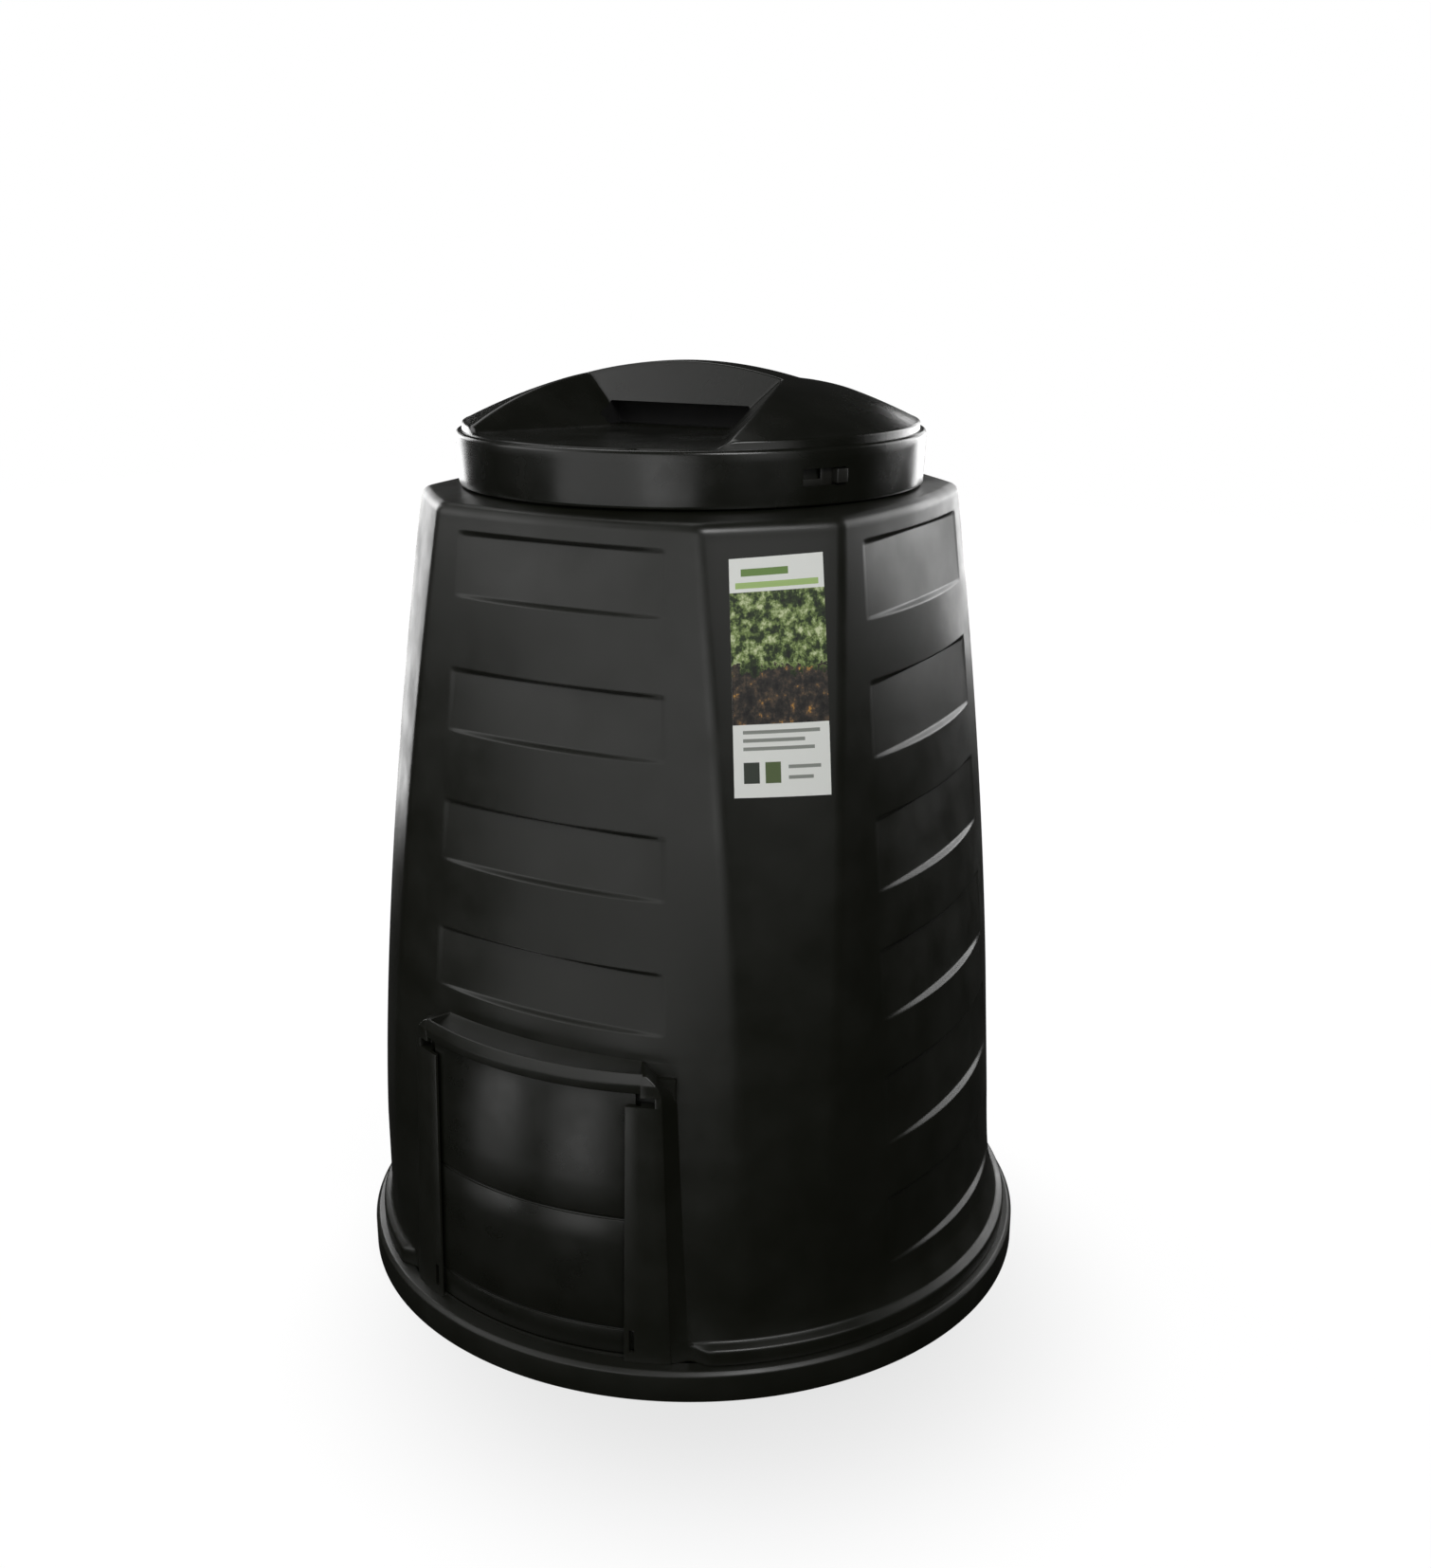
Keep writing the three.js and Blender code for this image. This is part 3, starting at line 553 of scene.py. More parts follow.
def insideHalf(panel, side, z, flangeOut):
    offsets, inner, outer = panelOffsets(z, barrel["wall"])
    share, up, band = bandShare(z, barrel["wall"])
    if panel == 0 and band >= bands["overHatch"]:
        share = 0.0
    middle = hatch["azimuth"] + 90 * panel
    half = []
    for o in offsets:
        angle = middle + side * o
        if panel == 0 and o < outer + 0.1 and z < hatch["ledge"] - 2:
            half.append(leaned(polar(hatch["jamb"] - barrel["wall"], angle, z)))
            continue
        step = flangeOut * (smooth((o - flange["insideStart"]) / flange["insideRun"]) if panel == 0 else 1)
        level = z - ledgeDrop(panel, o, outer, z)
        radius = wallAt(angle, level) - share * bandDepth(o, inner, outer, up) - barrel["wall"] + step
        half.append(polar(radius, angle, level))
    return half


def ringOf(halfAt, z, flangeOut=0.0):
    row = []
    for panel in range(4):
        left, right = (halfAt(panel, side, z, flangeOut) for side in (-1, 1))
        row += left[38:0:-1] + right
    return row


def drawnIn(row, inset, circleShare, circle, z):
    drawn = []
    for x, y, _ in row:
        radius = math.hypot(x, y)
        reach = lerp(radius - inset, circle, circleShare)
        drawn.append((x * reach / radius, y * reach / radius, z))
    return drawn


def containerRows():
    b = barrel
    plain = hatch["rows"] + [830]
    for band in range(bands["count"]):
        top = bands["top"] - band * bands["pitch"]
        low = top - bands["height"]
        under, over = low - bands["ledgeEase"], low + bands["ledge"] + bands["ledgeEase"]
        plain += [under - bands["hold"]] + spread(under, over, 7, True) + [over + bands["hold"]]
        under, over = top - bands["lip"] - bands["lipEase"], top + bands["lipEase"]
        plain += [under - bands["hold"]] + spread(under, over, 10, True) + [over + bands["hold"]]
        plain += [lerp(low, top, share) for share in (0.2, 0.4, 0.6, 0.78)]
        if band:
            plain += [lerp(top, top + bands["pitch"] - bands["height"], share) for share in (0.3, 0.65)]
    heights = flange["rows"] + [(z, 0.0) for z in plain]
    rows = [ringOf(outsideHalf, z, out) for z, out in sorted(heights)]

    low = b["shoulderHeight"] - b["shoulderFillet"]
    top = ringOf(outsideHalf, low)
    for back, up in quarterTurn(8):
        rows.append(drawnIn(top, b["shoulderFillet"] * back, 0, 0, low + b["shoulderFillet"] * up))
    crown, neck, fillet = b["shoulderHeight"] + b["shoulderRise"], b["neckRadius"], b["neckFillet"]
    rows.append(drawnIn(top, b["shoulderFillet"], 0.5, neck + fillet, lerp(b["shoulderHeight"], crown, 0.5)))
    for back, up in quarterTurn(4):
        rows.append(drawnIn(top, 0, 1, neck + fillet * (1 - up), crown + fillet * back))
    rim, wall = b["rimRound"], b["wall"]
    for back, up in quarterTurn(4):
        rows.append(drawnIn(top, 0, 1, neck - rim * back, b["neckTop"] - rim * (1 - up)))
    rows += [drawnIn(top, 0, 1, neck - wall, b["neckTop"] - 0.5), drawnIn(top, 0, 1, neck - wall, crown - wall)]
    rows.append(drawnIn(top, b["shoulderFillet"] + wall, 0, 0, b["shoulderHeight"] - wall))

    inner = [(z, 0.0) for z in [low] + hatch["insideRows"]] + flange["insideRows"]
    for band in range(bands["count"]):
        bandHigh = bands["top"] - band * bands["pitch"] + wall
        bandLow = bandHigh - bands["height"] - 2 * wall
        inner += [(z, 0.0) for z in (bandLow - 1, bandLow + bands["ledge"] / 2, bandLow + bands["ledge"] + 1,
                                     bandHigh - bands["lip"] - 1, bandHigh - bands["lip"] / 2, bandHigh + 1)]
    return rows + [ringOf(insideHalf, z, out) for z, out in sorted(inner, reverse=True)]


def boxed(inner, outer, low, high):
    return [(inner, low), (outer, low), (outer, high), (inner, high)]


def hatchBlock(name, outline, near, far, ease=0.0):
    # a leaned block across the hatch between two half widths, minus for the left
    start, end = (math.copysign(angleOf(abs(half), hatch["face"]), half) + hatch["azimuth"]
                  for half in (near, far))
    if ease:
        outline = roundCorners(outline, ease, 3)
    block = sweptPiece(name, outline, start, end - start, max(2, int((end - start) / 1.5)))
    leanIn(block)
    return block


def makeContainer():
    h = hatch
    shell = sheetOf("container_shell", containerRows(), True)
    # the hatch opening
    deselectAll()
    bpy.ops.mesh.primitive_plane_add(size=1, location=(0, 0, 0), rotation=(math.pi / 2, 0, 0))
    cutter = bpy.context.object
    setBox(cutter, (h["openWidth"], h["openHigh"] - h["openLow"], 1),
           (0, -h["cutterNear"], (h["openHigh"] + h["openLow"]) / 2))
    startEdit()
    bpy.ops.mesh.bevel(offset=h["openCorner"] * mm, segments=8, affect="VERTICES")
    bpy.ops.mesh.select_all(action="SELECT")
    bpy.ops.mesh.extrude_region_move(TRANSFORM_OT_translate={"value": (0, -h["cutterReach"] * mm, 0)})
    turnOutward()
    cutWith(shell, cutter)
    for side in (-1, 1):
        halves = sorted((side * h["notchNear"], side * h["notchFar"]))
        cutWith(shell, hatchBlock("notch_cutter", boxed(h["lipInner"] - 1, h["face"] + 12, h["notchLow"],
                                                        h["notchHigh"]), *halves))
    finishPiece(shell, "bin", ["container"], wallPlastic)

    strap = hatchBlock("hatch_strap", [
        (h["lipInner"], h["strapLow"]), (h["strapChin"], h["strapLow"]), (h["nose"], h["noseHeight"]),
        (h["brow"], h["hoodTop"]), (h["lipInner"], h["hoodTop"])],
        -h["channel"] - 2, h["channel"] + 2, h["strapEase"])
    finishPiece(strap, "bin", [], wallPlastic)
    for name, side in (("hatch_stop_left", -1), ("hatch_stop_right", 1)):
        halves = sorted((side * (h["lip"] + 5), side * (h["channel"] + 2)))
        stop = hatchBlock(name, boxed(h["jamb"] - 1, h["lipInner"] + 1, h["sill"] - 2, h["stopTop"]), *halves,
                          h["stopEase"])
        finishPiece(stop, "bin", [], wallPlastic)
    k = keeper
    for name, turned in (("neck_keeper_front", 0), ("neck_keeper_rear", 180)):
        outline = roundCorners(boxed(k["inner"], k["outer"], k["low"], k["top"]), k["ease"], 3)
        block = sweptPiece(name, outline, turned + k["start"], k["sweep"], 6)
        easeEdges(block, k["bevel"], 2)
        finishPiece(block, "bin", [], wallPlastic)
    print("container done")


makeContainer()

# ground ring, with a locating lip inside the wall
ground = {"radius": 369.99, "height": 33, "wall": 3.5, "chamfer": 4, "bore": 333, "lip": 10, "foot": 9,
          "footPlate": 4, "ease": 1.3}


def makeGroundRing():
    g = ground
    skirt, lip = g["radius"] - g["wall"], g["bore"] + g["wall"]
    outer = roundCorners([
        (g["radius"] - g["foot"], 0), (g["radius"], 0), (g["radius"], g["height"] - g["chamfer"]),
        (g["radius"] - g["chamfer"], g["height"]), (lip, g["height"]), (lip, g["height"] + g["lip"]),
        (g["bore"], g["height"] + g["lip"]), (g["bore"], 0), (g["bore"] + g["foot"], 0),
        (g["bore"] + g["foot"], g["footPlate"]), (lip, g["footPlate"]), (lip, g["height"] - g["wall"]),
        (skirt - g["chamfer"], g["height"] - g["wall"]), (skirt, g["height"] - g["wall"] - g["chamfer"]),
        (skirt, g["footPlate"]), (g["radius"] - g["foot"], g["footPlate"])], g["ease"], 3)
    ring = sweptPiece("ground_ring_moulding", outer, 0, 360, 256)
    finishPiece(ring, "bin", ["ground_ring"], ringPlastic)
    print("ground ring done")


makeGroundRing()

# hatch door, a curved plate that slides up
door = {"inner": 346, "outer": 350, "low": 38.3, "top": 328, "half": 121, "grooves": (65, 185),
        "grooveWidth": 5, "grooveDepth": 1.5, "ease": 0.7, "steps": 44}


def makeDoor():
    d = door
    outline = [(d["inner"], d["low"]), (d["outer"], d["low"])]
    for height in d["grooves"]:
        wide, narrow = d["grooveWidth"] / 2, d["grooveWidth"] / 4
        floor = d["outer"] - d["grooveDepth"]
        outline += [(d["outer"], height - narrow), (floor, height - narrow), (floor, height + narrow),
                    (d["outer"], height + wide)]
    outline += [(d["outer"], d["top"]), (d["inner"], d["top"])]
    half = angleOf(d["half"], hatch["face"])
    # more heights up the plate than the grooves need, so that it bends evenly
    rows = []
    for i, (r, z) in enumerate(outline):
        rows.append((r, z))
        nextR, nextZ = outline[(i + 1) % len(outline)]
        if abs(nextZ - z) > 30:
            rows += [(lerp(r, nextR, share), lerp(z, nextZ, share)) for share in (0.25, 0.5, 0.75)]
    plate = sweptPiece("hatch_door_plate", roundCorners(rows, d["ease"], 2), hatch["azimuth"] - half, 2 * half,
                       d["steps"])
    leanIn(plate)
    finishPiece(plate, "door", ["hatch_door"], doorPlastic)
    print("door done")


makeDoor()

# lid: a dome with two scoops that leave a grip ridge between them
lid = {
    "wall": 3.5, "radius": 241.5, "low": 856, "draft": 2, "rim": 909, "edge": 4, "bead": 1, "groove": 1.5,
    "domeRise": 66, "domeStep": 7, "domeEdge": 3, "seat": 12, "seatHeight": 904.3,
    "floor": 910, "floorHalf": 60, "floorBack": 33, "crestHalf": 113, "crestBack": 18, "crestHeight": 50,
    "rimHalf": 139, "rimReach": 190, "underHeight": 24, "underHalf": 82, "underBack": 8, "underFront": 47,
    "ease": 2.6, "underEase": 2.5, "underFloor": 0.6,
    "curveStart": 1, "curveRise": 12, "curveFall": 9, "curveHalf": 105, "curveRun": 60,
    # columns by the side wall's foot and rim, drawn together where a row is short, and rows by the back wall's
    "footColumns": (-3, -1.5, 0, 1.5, 3), "rimColumns": (-2.5, -1.2, 0, 1.2, 2.5), "shortRow": 60,
    "footRows": (-3, -2, -1, 0, 1, 2), "crestRows": (-2.4, -1.4, -0.7, 0, 0.7, 1.4, 2.4),
    "evenRowsEnd": 79,       # degrees round from the front
    # the skirt's foot, outside and inside: how far out and how far up
    "skirtFoot": [(-0.05, 0.9), (-0.5, 0.2), (-1.2, 0)], "skirtInside": [(0.9, 0), (0.2, 0.3), (0, 1)],
    "skirtTop": 905, "insideStep": 880,
    "slotLow": 874, "slotHeight": 16, "slotStart": -35, "slotSweep": 11.5, "slotReach": 12, "slotEase": 0.5,
    # the groove behind the edge's bead: how far out from the dome, height
    "grooveRows": [(0.35, 908.0), (0.75, 907.6), (1.15, 908.0), (1.5, 908.7), (1.9, 909)],
    # the dome's rounded edge: how far in, and the share of a row's length where the row is short
    "bendRows": [(3.4, 0.9), (2.6, 0.93), (1.8, 0.95), (1.1, 0.965), (0.5, 0.98), (0.15, 0.99), (0.02, 0.996)],
}
domeRadius = lid["radius"] - lid["edge"] - lid["bead"] - lid["groove"]
scoopRun = (lid["rimHalf"] - lid["floorHalf"]) / (lid["rimReach"] - lid["floorBack"])


def domeHeight(radius):
    # the dome rounds over at its edge and drops to the rim
    turn = domeRadius - lid["domeEdge"]
    arch = lid["rim"] + lerp(lid["domeRise"], lid["domeStep"], (min(radius, turn) / domeRadius) ** 2)
    past = clamp((radius - turn) / lid["domeEdge"])
    return arch - lid["domeEdge"] * (1 - math.sqrt(1 - past ** 2))


def scoopBack(y):
    # height of a scoop's back wall, for a front scoop, at a place behind its foot
    return lid["floor"] + (y + lid["floorBack"]) * lid["crestHeight"] / (lid["floorBack"] - lid["crestBack"])


def scoopSide(x, y):
    # height of its side wall: the half width at a place grows with height
    l = lid
    widening = (l["crestHalf"] - l["floorHalf"]) + (l["floorBack"] - l["crestBack"]) * scoopRun
    perHeight = widening / l["crestHeight"]
    atFloor = l["floorHalf"] + (-l["floorBack"] - y) * scoopRun
    return l["floor"] + (x - atFloor) / perHeight, atFloor, perHeight


def lidHeight(x, y, grow):
    # both scoops are alike, half a turn apart
    x, y = abs(x), -abs(y)
    dome = domeHeight(math.hypot(x, y)) - grow
    back = scoopBack(y - grow) - grow
    side = scoopSide(x - grow, y - grow)[0] - grow
    scoop = softMax(softMax(lid["floor"] - grow, back, lid["ease"]), side, lid["ease"])
    if grow and x < lid["underHalf"] + 2 * grow and y > -lid["underFront"] - 2 * grow:
        return lid["floor"] - grow   # room for the hollow under the ridge
    return softMin(dome, scoop, lid["ease"])


def crestPlace(x):
    # where the back wall meets the dome, at a distance from the middle
    y = -lid["crestBack"]
    for _ in range(12):
        y = -lid["floorBack"] + (domeHeight(math.hypot(x, y)) - lid["floor"]) * (
            lid["floorBack"] - lid["crestBack"]) / lid["crestHeight"]
    return y


def rimPlace(y, limit):
    # where the side wall meets the dome, at a distance in front of the middle
    near, far = scoopSide(0, y)[1], limit
    if domeHeight(math.hypot(limit, y)) > scoopSide(limit, y)[0]:
        return limit
    for _ in range(24):
        middle = (near + far) / 2
        if domeHeight(math.hypot(middle, y)) > scoopSide(middle, y)[0]:
            near = middle
        else:
            far = middle
    return near


def lidColumns(y, reach, density):
    # places across one row, gathered at the side wall's foot and at its rim
    end = math.sqrt(max(0.0, reach ** 2 - y ** 2))
    limit = crestPlace(lid["crestHalf"])
    place = min(y, limit)
    foot = scoopSide(0, place)[1] + scoopSide(0, place)[2] * max(0.0, scoopBack(place) - lid["floor"])
    rim = max(foot + 7, rimPlace(place, end + 5))
    rim = min(rim, end * 0.965)
    foot = min(foot, rim - 0.05 * end)
    squeeze = min(1.0, end / lid["shortRow"])
    atFoot, atRim = ([s * squeeze for s in lid[key]] for key in ("footColumns", "rimColumns"))
    xs = spread(0, foot + atFoot[0], 7 * density) + [foot + s for s in atFoot]
    xs += spread(foot + atFoot[-1], rim + atRim[0], 5, True)[1:-1] + [rim + s for s in atRim]
    edge = []
    if reach > domeRadius - 1:
        bend = [(domeRadius - s * reach / domeRadius, near) for s, near in lid["bendRows"]]
        edge = [math.sqrt(max(r ** 2 - y ** 2, (end * near) ** 2)) for r, near in bend]
    start = edge[0] if edge else end
    xs += spread(rim + atRim[-1], start, 4 * density + 1, True)[1:] + edge[1:] + [end] * bool(edge)
    kept = []
    for x in xs:
        kept.append(max(kept[-1] if kept else 0.0, min(x, end)))
    return kept


def lidDisc(name, reach, grow, density):
    # rows across the lid, front to back, gathered at the foot and the crest of the scoop's back wall
    l = lid
    crest = crestPlace(l["crestHalf"])
    atFoot, atCrest = [s - l["floorBack"] for s in l["footRows"]], [crest + s for s in l["crestRows"]]
    ys = [-reach * math.cos(math.radians(a)) for a in spread(0, l["evenRowsEnd"], 14 * density)]
    ys += spread(-reach * math.cos(math.radians(l["evenRowsEnd"])), atFoot[0], 3) + atFoot
    ys += [lerp(atFoot[-1], atCrest[0], share) for share in (0.25, 0.5, 0.75)] + atCrest
    ys += [lerp(crest, 0, share) for share in (0.4, 0.7)]
    rows = []
    for y in ys:
        xs = lidColumns(y, reach, density)
        # rows near the crest follow its slight curve
        near = smooth((y + l["floorBack"] - l["curveStart"]) / l["curveRise"]) * smooth(-y / l["curveFall"])
        bent = []
        for x in xs:
            curve = near * (crestPlace(min(x, l["crestHalf"])) - crest)
            bent.append(y + curve * (1 - smooth((x - l["curveHalf"]) / l["curveRun"])))
        right = list(zip(xs, bent))
        rows.append([(-x, v) for x, v in right[:0:-1]] + right)
    middle = [(x, 0.0) for x, _ in rows[-1]]
    stretch = reach / middle[-1][0]
    middle = [(x * stretch, 0.0) for x, _ in middle]
    plan = rows + [middle] + [[(x, -v) for x, v in row] for row in reversed(rows)]
    points = []
    for row in plan:
        line = []
        for x, y in row:
            onEdge = math.hypot(x, y) > reach - 0.02
            line.append((x, y, l["rim"] if onEdge and not grow else lidHeight(x, y, grow)))
        points.append(line)
    disc = sheetOf(name, points, False)
    startEdit()
    weld(2 * sameSpot)
    bpy.ops.object.mode_set(mode="OBJECT")
    return disc


def makeLid():
    l = lid
    shell = lidDisc("lid_moulding", domeRadius, 0, 3)
    edge = l["radius"] - l["edge"]
    profile = [(domeRadius + out, height) for out, height in l["grooveRows"]] + [(edge, l["rim"])]
    profile += [(edge + l["edge"] * up, l["rim"] - l["edge"] * back) for back, up in quarterTurn(6)[1:]]
    low, foot, inner = l["low"], l["radius"] - l["draft"], l["radius"] - l["draft"] - l["wall"]
    profile += [(lerp(l["radius"], foot, share), lerp(l["skirtTop"], low, share))
                for share in (0.15, 0.4, 0.7, 0.94)]
    profile += [(foot + out, low + up) for out, up in l["skirtFoot"]]
    profile += [(inner + out, low + up) for out, up in l["skirtInside"]]
    profile += [(inner, l["insideStep"]), (inner, l["seatHeight"]), (inner - l["seat"], l["seatHeight"])]
    makeActive(shell)
    bpy.ops.object.mode_set(mode="EDIT")
    bpy.ops.mesh.select_mode(type="EDGE")
    bpy.ops.mesh.select_all(action="DESELECT")
    bpy.ops.mesh.select_non_manifold()
    radius, height = domeRadius, l["rim"]
    for nextRadius, nextHeight in profile:
        bpy.ops.mesh.extrude_edges_move()
        bpy.ops.transform.resize(value=(nextRadius / radius, nextRadius / radius, 1), center_override=(0, 0, 0))
        bpy.ops.transform.translate(value=(0, 0, (nextHeight - height) * mm))
        radius, height = nextRadius, nextHeight
    bpy.ops.object.mode_set(mode="OBJECT")
    under = lidDisc("lid_underside", inner - l["seat"], l["wall"], 2)
    joinInto(shell, [under])
    bpy.ops.object.mode_set(mode="EDIT")
    bpy.ops.mesh.select_all(action="DESELECT")
    bpy.ops.mesh.select_non_manifold()
    bpy.ops.mesh.bridge_edge_loops()
    turnOutward()
    # the hollows under the ridge
    for side in (-1, 1):
        deselectAll()
        bpy.ops.mesh.primitive_cube_add(size=1, location=(0, 0, 0))
        cutter = bpy.context.object
        depth, tall = l["underFront"] - l["underBack"], l["underHeight"] - l["underFloor"]
        setBox(cutter, (2 * l["underHalf"], depth, tall),
               (0, side * (l["underBack"] + depth / 2), l["floor"] + l["underFloor"] + tall / 2))
        easeEdges(cutter, l["underEase"], 3)
        cutWith(shell, cutter)
    for turned in (0, 180):
        slot = roundCorners(boxed(l["radius"] - l["slotReach"], l["radius"] + l["slotReach"], l["slotLow"],
                                  l["slotLow"] + l["slotHeight"]), l["slotEase"], 2)
        cutWith(shell, sweptPiece("slot_cutter", slot, turned + l["slotStart"], l["slotSweep"], 8))
    finishPiece(shell, "lid_body", ["lid"], lidPlastic, angle=48)
    # the faces inside the hollows under the ridge get the darker plastic: painted shade
    shell.data.materials.append(hollowShadePlastic)
    slack = 0.5
    for face in shell.data.polygons:
        x, y, z = (abs(value) / mm for value in face.center)
        isUnder = x < l["underHalf"] + slack and l["underBack"] - slack < y < l["floorBack"]
        if isUnder and l["floor"] - 0.2 < z < l["floor"] + l["underHeight"] + slack:
            face.material_index = 1
    print("lid done")


makeLid()

# latches in the lid's skirt: a knob, a plate behind the slot and a finger under the keeper
# sweeps and the end gap are in degrees
latch = {"plateOuter": 235.2, "plate": 2.4, "margin": 2, "plateSweep": 9, "knobOut": 244.5, "knobSweep": 3,
         "knobClearance": 1.5, "endGap": 0.15, "fingerSweep": 6, "fingerHeight": 8, "bevel": 0.8,
         "overlap": 0.05}


def makeLatch(name, node, body, turned):
    l, t = lid, latch
    knobEnd = turned + l["slotStart"] + l["slotSweep"] - t["endGap"]
    knobStart = knobEnd - t["knobSweep"]
    plateStart = (knobStart + knobEnd) / 2 - t["plateSweep"] / 2
    low, high = l["slotLow"] - t["margin"], l["slotLow"] + l["slotHeight"] + t["margin"]
    inner = t["plateOuter"] - t["plate"]
    blocks = [
        ("knob", inner + 1, t["knobOut"], l["slotLow"] + t["knobClearance"],
         l["slotLow"] + l["slotHeight"] - t["knobClearance"], knobStart, t["knobSweep"]),
        ("plate", inner, t["plateOuter"], low, high, plateStart, t["plateSweep"]),
        ("finger", inner + t["overlap"], t["plateOuter"] - t["overlap"], low + t["overlap"],
         low + t["fingerHeight"], plateStart - t["fingerSweep"], t["fingerSweep"] + 1),
    ]
    parts = []
    for part, near, far, bottom, top, start, sweep in blocks:
        block = sweptPiece(name + "_" + part, boxed(near, far, bottom, top), start, sweep, max(3, int(sweep)))
        easeEdges(block, t["bevel"], 3)
        parts.append(block)
    joinInto(parts[0], parts[1:])
    parts[0].name = name
    finishPiece(parts[0], body, [node], latchPlastic)


makeLatch("latch_front_moulding", "lid_latch_front", "latch_front", 0)
makeLatch("latch_rear_moulding", "lid_latch_rear", "latch_rear", 180)
print("latches done")

# a printed film on the narrow panel at the front right: plain bands, bars and blocks, with nothing to read
label = {
    "left": (-53.5, -53.2), "right": (-35.3, -35.9),   # degrees, at the top and at the foot
    "top": (817.8, 820.4), "foot": (603.5, 599.1),     # heights at the left and at the right
    "proud": 0.4, "film": 0.25, "roughness": 0.35, "paper": "#eff1ec",
    # left, right, low and high shares of the film
    "picture": (0.0, 1.0, 0.31, 0.86),
    "bars": [
        ("#a9c67a", (0.06, 0.94, 0.875, 0.9)), ("#6f8f4a", (0.12, 0.62, 0.925, 0.955)),
        ("#8f938c", (0.1, 0.9, 0.27, 0.285)), ("#8f938c", (0.1, 0.74, 0.235, 0.25)),
        ("#8f938c", (0.1, 0.84, 0.2, 0.215)), ("#3c423a", (0.1, 0.26, 0.06, 0.15)),
        ("#5b6a45", (0.32, 0.48, 0.06, 0.15)), ("#8f938c", (0.56, 0.9, 0.12, 0.135)),
        ("#8f938c", (0.56, 0.82, 0.075, 0.09)),
    ],
    "foliage": ((0.36, "#10160c"), (0.46, "#2f3f1d"), (0.53, "#7c9150"), (0.62, "#d3dcae")),
    "soil": ((0.36, "#121110"), (0.5, "#2f2b27"), (0.6, "#57493a"), (0.68, "#d39a45")),
    "foliageScale": 7.0, "soilScale": 9.0,             # clumps across the film
    "shoreRough": 0.35, "shore": 0.36,                 # where the soil ends, and how unevenly
}


def printedFilm():
    # polypropylene film, printed and laminated: even, pale and a little glossy
    material = bpy.data.materials.new("label_printed_film")
    material.use_nodes = True
    tree = material.node_tree
    shader = tree.nodes["Principled BSDF"]
    place = addNode(tree, "UVMap").outputs["UV"]
    split = addNode(tree, "SeparateXYZ", {"Vector": place})

    def printBlock(under, colour, box):
        # a block of one colour or pattern over what is printed so far
        mask = 1.0
        for axis, limits in (("X", box[:2]), ("Y", box[2:])):
            for limit, side in zip(limits, ("GREATER_THAN", "LESS_THAN")):
                within = addNode(tree, "Math", {0: split.outputs[axis], 1: limit}, operation=side)
                mask = addNode(tree, "Math", {0: mask, 1: within.outputs[0]},
                               operation="MULTIPLY").outputs[0]
        under, colour = (toLinear(part) if isinstance(part, str) else part for part in (under, colour))
        layer = addNode(tree, "Mix", {"Factor": mask, "A": under, "B": colour}, data_type="RGBA")
        return layer.outputs["Result"]

    # a plain garden picture: foliage over a heap of soil and dry leaves
    even = addNode(tree, "VectorMath", {0: place, 1: (1.0, 2.0, 1.0)}, operation="MULTIPLY")

    def grown(scale, stops):
        noise = addNode(tree, "TexNoise", {
            "Vector": even.outputs["Vector"], "Scale": scale, "Detail": 5.0, "Roughness": 0.7})
        ramp = addNode(tree, "ValToRGB", {"Fac": noise.outputs["Fac"]})
        ends = ramp.color_ramp.elements
        ends[0].position, ends[0].color = stops[0][0], toLinear(stops[0][1])
        ends[1].position, ends[1].color = stops[-1][0], toLinear(stops[-1][1])
        for position, text in stops[1:-1]:
            ends.new(position).color = toLinear(text)
        return ramp.outputs["Color"], noise.outputs["Fac"]

    foliage, clumps = grown(label["foliageScale"], label["foliage"])
    soil, _ = grown(label["soilScale"], label["soil"])
    shore = addNode(tree, "Math", {0: clumps, 1: label["shoreRough"], 2: label["shore"]},
                    operation="MULTIPLY_ADD").outputs[0]
    isSoil = addNode(tree, "Math", {0: split.outputs["Y"], 1: shore}, operation="LESS_THAN").outputs[0]
    picture = addNode(tree, "Mix", {"Factor": isSoil, "A": foliage, "B": soil}, data_type="RGBA")
    colour = printBlock(label["paper"], picture.outputs["Result"], label["picture"])
    for text, box in label["bars"]:
        colour = printBlock(colour, text, box)
    tree.links.new(colour, shader.inputs["Base Color"])
    shader.inputs["Roughness"].default_value = label["roughness"]
    return material


def makeLabel():
    b = label
    rows = []
    for up in spread(0, 1, 20, True):
        row = []
        for across in spread(0, 1, 14, True):
            angle = lerp(lerp(b["left"][1], b["right"][1], across),
                         lerp(b["left"][0], b["right"][0], across), up)
            z = lerp(lerp(b["foot"][0], b["foot"][1], across), lerp(b["top"][0], b["top"][1], across), up)
            row.append(polar(wallAt(angle, z) + b["proud"], angle, z))
        rows.append(row)
    film = sheetOf("panel_label", rows, False)
    applyModifier(film, "SOLIDIFY", thickness=b["film"] * mm, offset=-1)
    finishPiece(film, "bin", [], printedFilm())
    print("label done")


makeLabel()

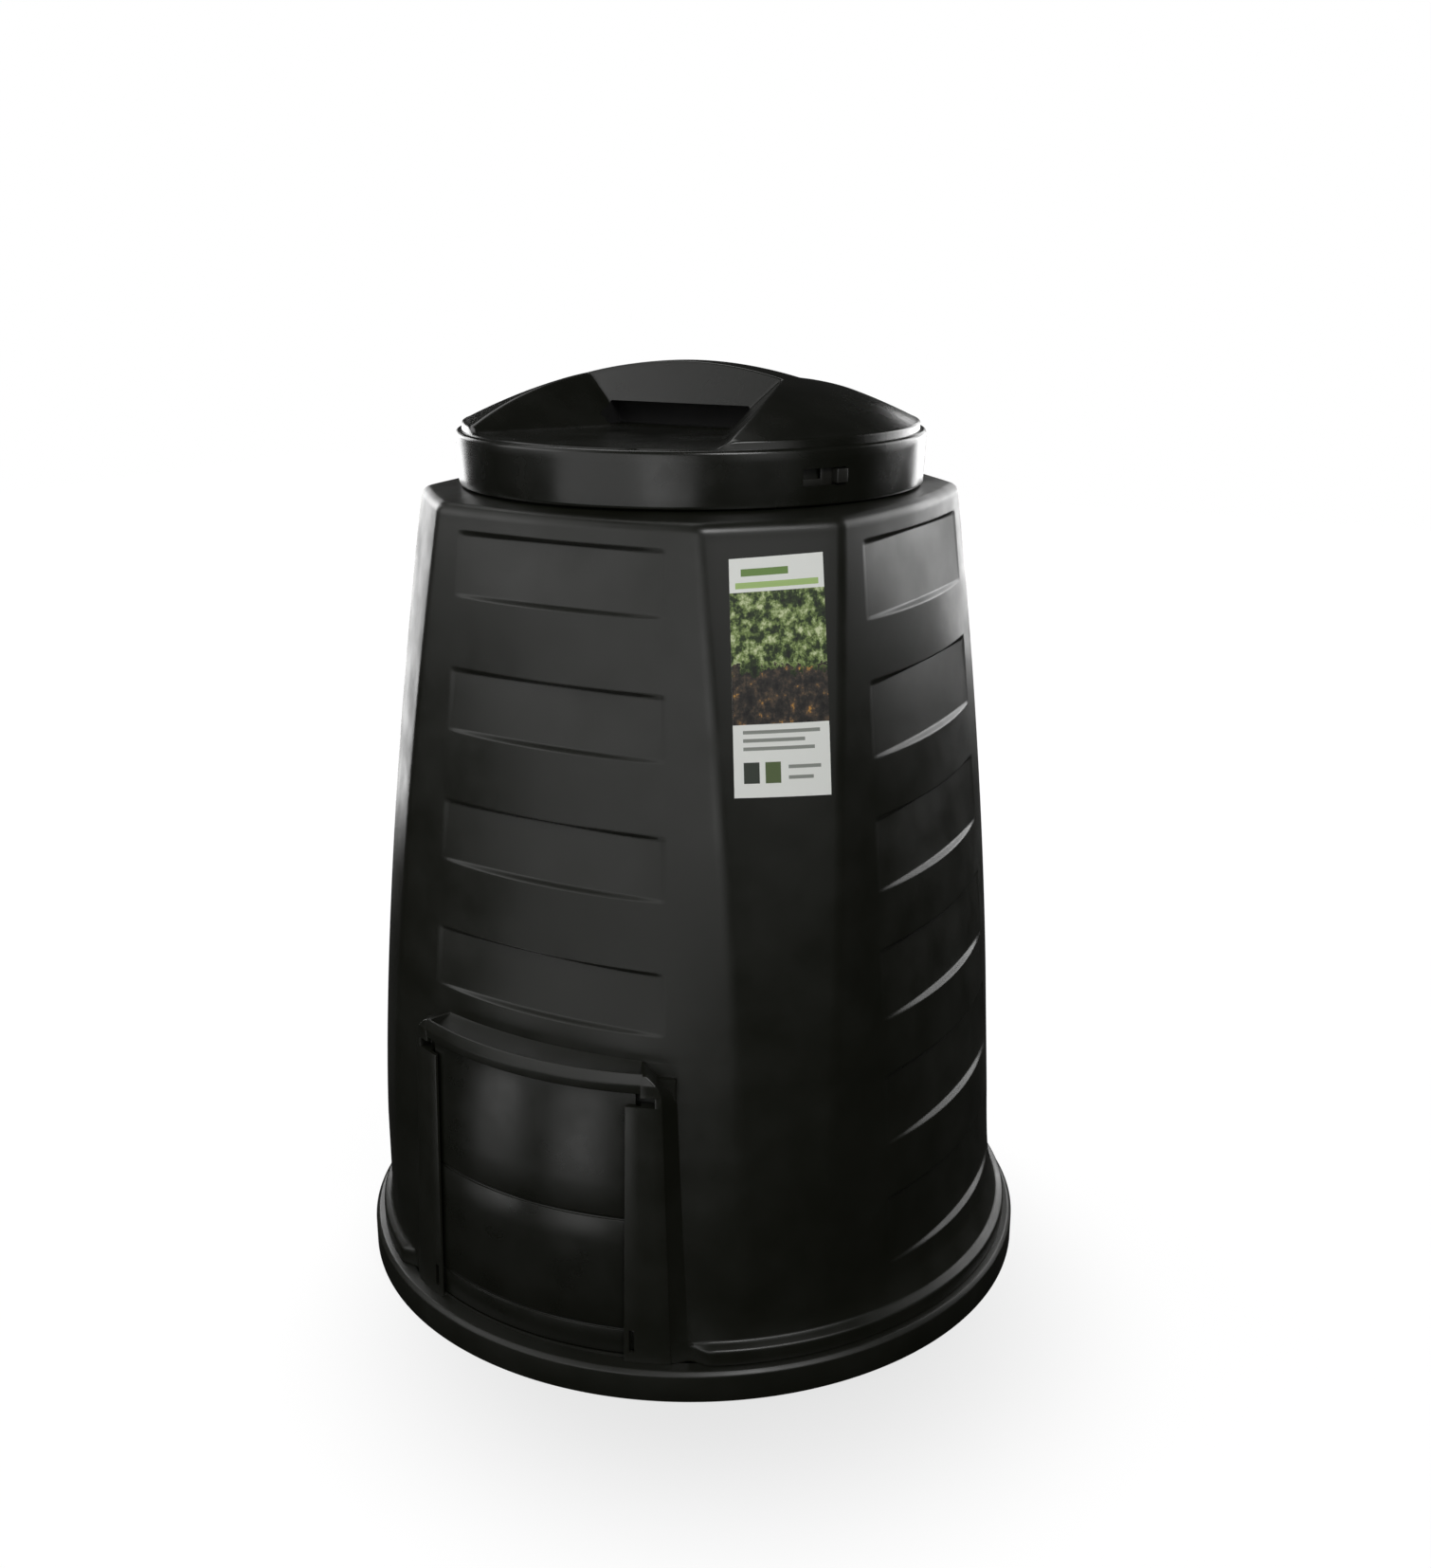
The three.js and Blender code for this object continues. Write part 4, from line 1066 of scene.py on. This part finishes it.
# studio: a white card for the camera, and softboxes in a dim room, which is what the black plastic mirrors
studio = {
    "floorHalf": 6.0,          # metres
    "white": "#ffffff",
    "mirroredFloor": "#1e1e1e",  # what the plastic sees of the floor
    "room": 0.022,             # brightness of the room
    "litShare": 0.08,          # how much of the floor is a lit surface
    # the bin's soft shadow on the floor is painted: the white card is made dimmer round this middle
    "contact": (0.12, -0.15, 0.0),  # metres, middle of the soft shadow that the bin stands in
    "contactReach": (0.16, 0.5),  # metres
    "contactShade": (0.8, 1.03),
    "shadowReach": (0.9, 1.7),  # metres, where the lit part of the floor fades out
    # softboxes: azimuth, distance, height of the middle, width, height, brightness, height they are turned to
    "boxes": {
        "front_box": (-98, 2.4, 0.95, 2.5, 1.7, 1.05, 0.95),
        "front_right_box": (-70, 2.5, 0.55, 1.0, 0.8, 1.2, 0.55),
        "left_box": (-141, 2.4, 1.45, 1.5, 1.2, 1.7, 1.45),
        "corner_box": (-28, 2.6, 1.3, 1.3, 1.4, 0.8, 1.3),
        "upper_left_box": (-140, 2.1, 2.5, 2.2, 1.2, 0.95, 0.6),
        "back_right_box": (58, 2.6, 1.4, 1.5, 1.5, 2.8, 1.4),
        "back_far_box": (85, 2.5, 0.6, 0.9, 0.65, 4.6, 0.6),
        "ledge_box": (70, 0.85, 0.98, 0.6, 0.35, 2.4, 0.37),
        "back_left_strip": (154, 1.45, 0.62, 0.55, 1.0, 3.5, 0.62),
        "back_left_card": (168, 1.45, 1.12, 0.4, 0.55, 3.5, 1.0),
        "high_key": (-38, 2.9, 2.9, 1.3, 1.3, 10.5, 0.5),
        "overhead": (152, 1.3, 3.2, 1.6, 1.6, 1.8, 0.3),
        # two low cards that the hatch door mirrors
        "low_card_left": (-119, 0.82, 0.01, 0.2, 0.9, 1.6, 3.0),
        "low_card_right": (-93, 0.82, 0.01, 0.24, 0.9, 1.4, 3.0),
    },
}


def softbox(name, azimuth, distance, height, width, tall, brightness, aimHeight):
    data = bpy.data.lights.new(name, "AREA")
    data.shape = "RECTANGLE"
    data.size, data.size_y = width, tall
    data.energy = brightness * math.pi * width * tall
    lamp = bpy.data.objects.new(name, data)
    bpy.context.collection.objects.link(lamp)
    lamp.location = Vector(polar(distance, azimuth, height))
    aim = Vector((0, 0, aimHeight)) - lamp.location
    lamp.rotation_euler = aim.to_track_quat("-Z", "Y").to_euler()
    lamp.visible_camera = False


def makeCamera():
    data = bpy.data.cameras.new("camera")
    data.sensor_fit = "AUTO"
    data.sensor_width = 36
    data.lens = view["lens"]
    camera = bpy.data.objects.new("camera", data)
    bpy.context.collection.objects.link(camera)
    camera.location = view["eye"]
    camera.rotation_euler = (math.radians(90 - view["dip"]), 0, math.radians(view["turn"]))
    bpy.context.scene.camera = camera


def makeFloor():
    deselectAll()
    bpy.ops.mesh.primitive_plane_add(size=2 * studio["floorHalf"], location=(0, 0, 0))
    floor = bpy.context.object
    floor.name = "floor"
    material = bpy.data.materials.new("floor_white_card")
    material.use_nodes = True
    tree = material.node_tree
    tree.nodes.clear()
    place = addNode(tree, "TexCoord").outputs["Object"]
    # both fade with the distance along the floor: the share of lit paper, and the painted shadow that dims the
    # white card near the bin
    fades = []
    for middle, reach, ends in (((0.0, 0.0, 0.0), studio["shadowReach"], (studio["litShare"], 0.0)),
                                (studio["contact"], studio["contactReach"], studio["contactShade"])):
        away = addNode(tree, "VectorMath", {0: place, 1: middle}, operation="DISTANCE")
        fade = addNode(tree, "MapRange", {
            "Value": away.outputs["Value"], "From Min": reach[0], "From Max": reach[1],
            "To Min": ends[0], "To Max": ends[1]}, interpolation_type="SMOOTHSTEP")
        fades.append(fade.outputs["Result"])
    lit, shade = fades
    white = toLinear(studio["white"])
    card = addNode(tree, "Emission", {"Color": white, "Strength": shade})
    paper = addNode(tree, "BsdfDiffuse", {"Color": white})
    grey = addNode(tree, "BsdfDiffuse", {"Color": toLinear(studio["mirroredFloor"])})
    seen = addNode(tree, "MixShader", {0: lit, 1: card.outputs[0], 2: paper.outputs[0]})
    rays = addNode(tree, "LightPath")
    both = addNode(tree, "MixShader", {
        0: rays.outputs["Is Camera Ray"], 1: grey.outputs[0], 2: seen.outputs[0]})
    addNode(tree, "OutputMaterial", {"Surface": both.outputs[0]})
    floor.data.materials.append(material)


def makeWorld():
    world = bpy.data.worlds.new("studio")
    world.use_nodes = True
    tree = world.node_tree
    tree.nodes.clear()
    white = toLinear(studio["white"])
    room = addNode(tree, "Background", {"Color": white, "Strength": studio["room"]})
    card = addNode(tree, "Background", {"Color": white, "Strength": 1.0})
    rays = addNode(tree, "LightPath")
    both = addNode(tree, "MixShader", {
        0: rays.outputs["Is Camera Ray"], 1: room.outputs[0], 2: card.outputs[0]})
    addNode(tree, "OutputWorld", {"Surface": both.outputs[0]})
    bpy.context.scene.world = world


makeCamera()
makeFloor()
makeWorld()
for name, values in studio["boxes"].items():
    softbox(name, *values)
bpy.context.scene.view_settings.view_transform = "Standard"
print("studio done")

bpy.context.view_layer.update()
